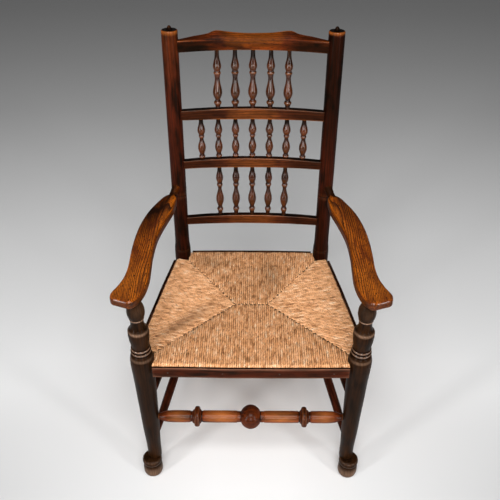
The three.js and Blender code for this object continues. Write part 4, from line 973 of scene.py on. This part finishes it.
# The stretchers: the front one turned with a ball and two rings and rubbed light by feet, the five others
# plain and swelling gently towards their middles. Their ends are sprung into the legs and posts.
front_half, ring_at, ring_radius, ball_radius, ball_half, front_z = 247.0, 143.0, 27.0, 31.8, 29.3, 230.0
half_outline = [
    (0.985, 9), (0.965, 10.8), (0.93, 13.8), (0.88, 15.5), (0.8, 16), (0.7, 15.9), (0.66, 15.6),
    (0.65, 14.4), (0.632, 14.2), (0.622, 18), (0.612, 19), (0.607, 23), (0.6, 26), (0.585, ring_radius),
    (0.573, ring_radius), (0.559, 26), (0.552, 23), (0.547, 19), (0.54, 18), (0.532, 14.6), (0.522, 14.6),
    (0.512, 15.7), (0.4, 16), (0.2, 15.9), (0.152, 15.6), (0.142, 14.4), (0.122, 14.6)]
ball = [(ball_half * math.cos(t), ball_radius * math.sin(t)) for t in np.linspace(0.47, math.pi / 2, 9)]
half_points = [(front_half, 8.5)] + [(share * front_half, radius) for share, radius in half_outline] + ball
front_outline = smooth_outline([(-s, r) for s, r in half_points] + half_points[-2::-1], step=5)
half_plain = [(0, 1.0), (0.35, 0.97), (0.65, 0.89), (0.88, 0.76), (1, 0.66)]
plain_end = 12.0  # from the axis of a leg or post


def between(start, end):
    """Places a turning that runs from one point in the chair to another, measured from its middle."""
    start, end = np.array(start, float), np.array(end, float)
    along = (end - start) / np.linalg.norm(end - start)
    a = np.cross(along, [0, 0, 1.0])
    a /= np.linalg.norm(a)
    b = np.cross(a, along)
    return lambda p, q, s: (start + end) / 2 + p[..., None] * a + q[..., None] * b + s[..., None] * along


def stretcher_wear_and_shade(a, b, s):
    """Rubbed light by heels on both sides of the ball and outside the rings, dark on the ball and rings and
    at the ends, with painted shade underneath."""
    from_middle = np.abs(s)
    from_ring = np.abs(from_middle - ring_at)
    light = 0.6 * near(from_middle, 80, 40) + 0.5 * near(from_middle, 195, 25)
    # Painted shade on the underside
    under = 0.7 * np.clip((-b - 2) / 10, 0, 1) * (from_ring > 14) * (from_middle > 30)
    dark = 0.45 * near(s, 0, 26, 4) + 0.6 * near(from_ring, 0, 15)
    return light - under - dark - 0.5 * np.clip((from_middle - 222) / 20, 0, 1)


stretcher_wood = waxed_wood(
    "golden_waxed_ash_stretcher", "#2c1006 #6e2f10 #180904 #ac6632 #0e0603",
    pith=(24, 14), roughness=0.4, wood_lines=0.25, gloss=(0.25, 0.8, 0.22))
front = turned(front_outline, between((-leg_x, 0, front_z), (leg_x, 0, front_z)), around=56, seed=8.3)
front = skin("turned_front_stretcher", front, handled=stretcher_wear_and_shade)
fit(front, stretcher_wood, "golden_wood", "front_stretcher")

plain_wood = waxed_wood(
    "stained_waxed_ash_stretchers", "#1e0e08 #542413 #110704 #804c28 #0a0504",
    pith=(18, 16), roughness=0.4, gloss=(0.05, 0.3, 0.25))
plain = [("rear_stretcher", (-post_x, post_y, 200.0), (post_x, post_y, 200.0), 12.6)]
for name, side in sides:
    for level, height, radius in (("upper", 281.0, 12.0), ("lower", 124.0, 12.6)):
        plain.append((f"side_stretcher_{level}_{name}", (side * leg_x, 0, height),
                      (side * post_x, post_y, height), radius))
for seed, (name, start, end, radius) in enumerate(plain):
    free = math.dist(start, end) / 2 - plain_end
    shares = [(-s, r) for s, r in half_plain[::-1]] + half_plain[1:]
    outline = smooth_outline([(s * free, r * radius) for s, r in shares], step=10)
    piece = turned(outline, between(start, end), around=32, seed=seed * 2.3)
    piece = skin(f"turned_{name}", piece, seed=seed)
    fit(piece, plain_wood, "dark_wood", name)


bpy.context.view_layer.update()
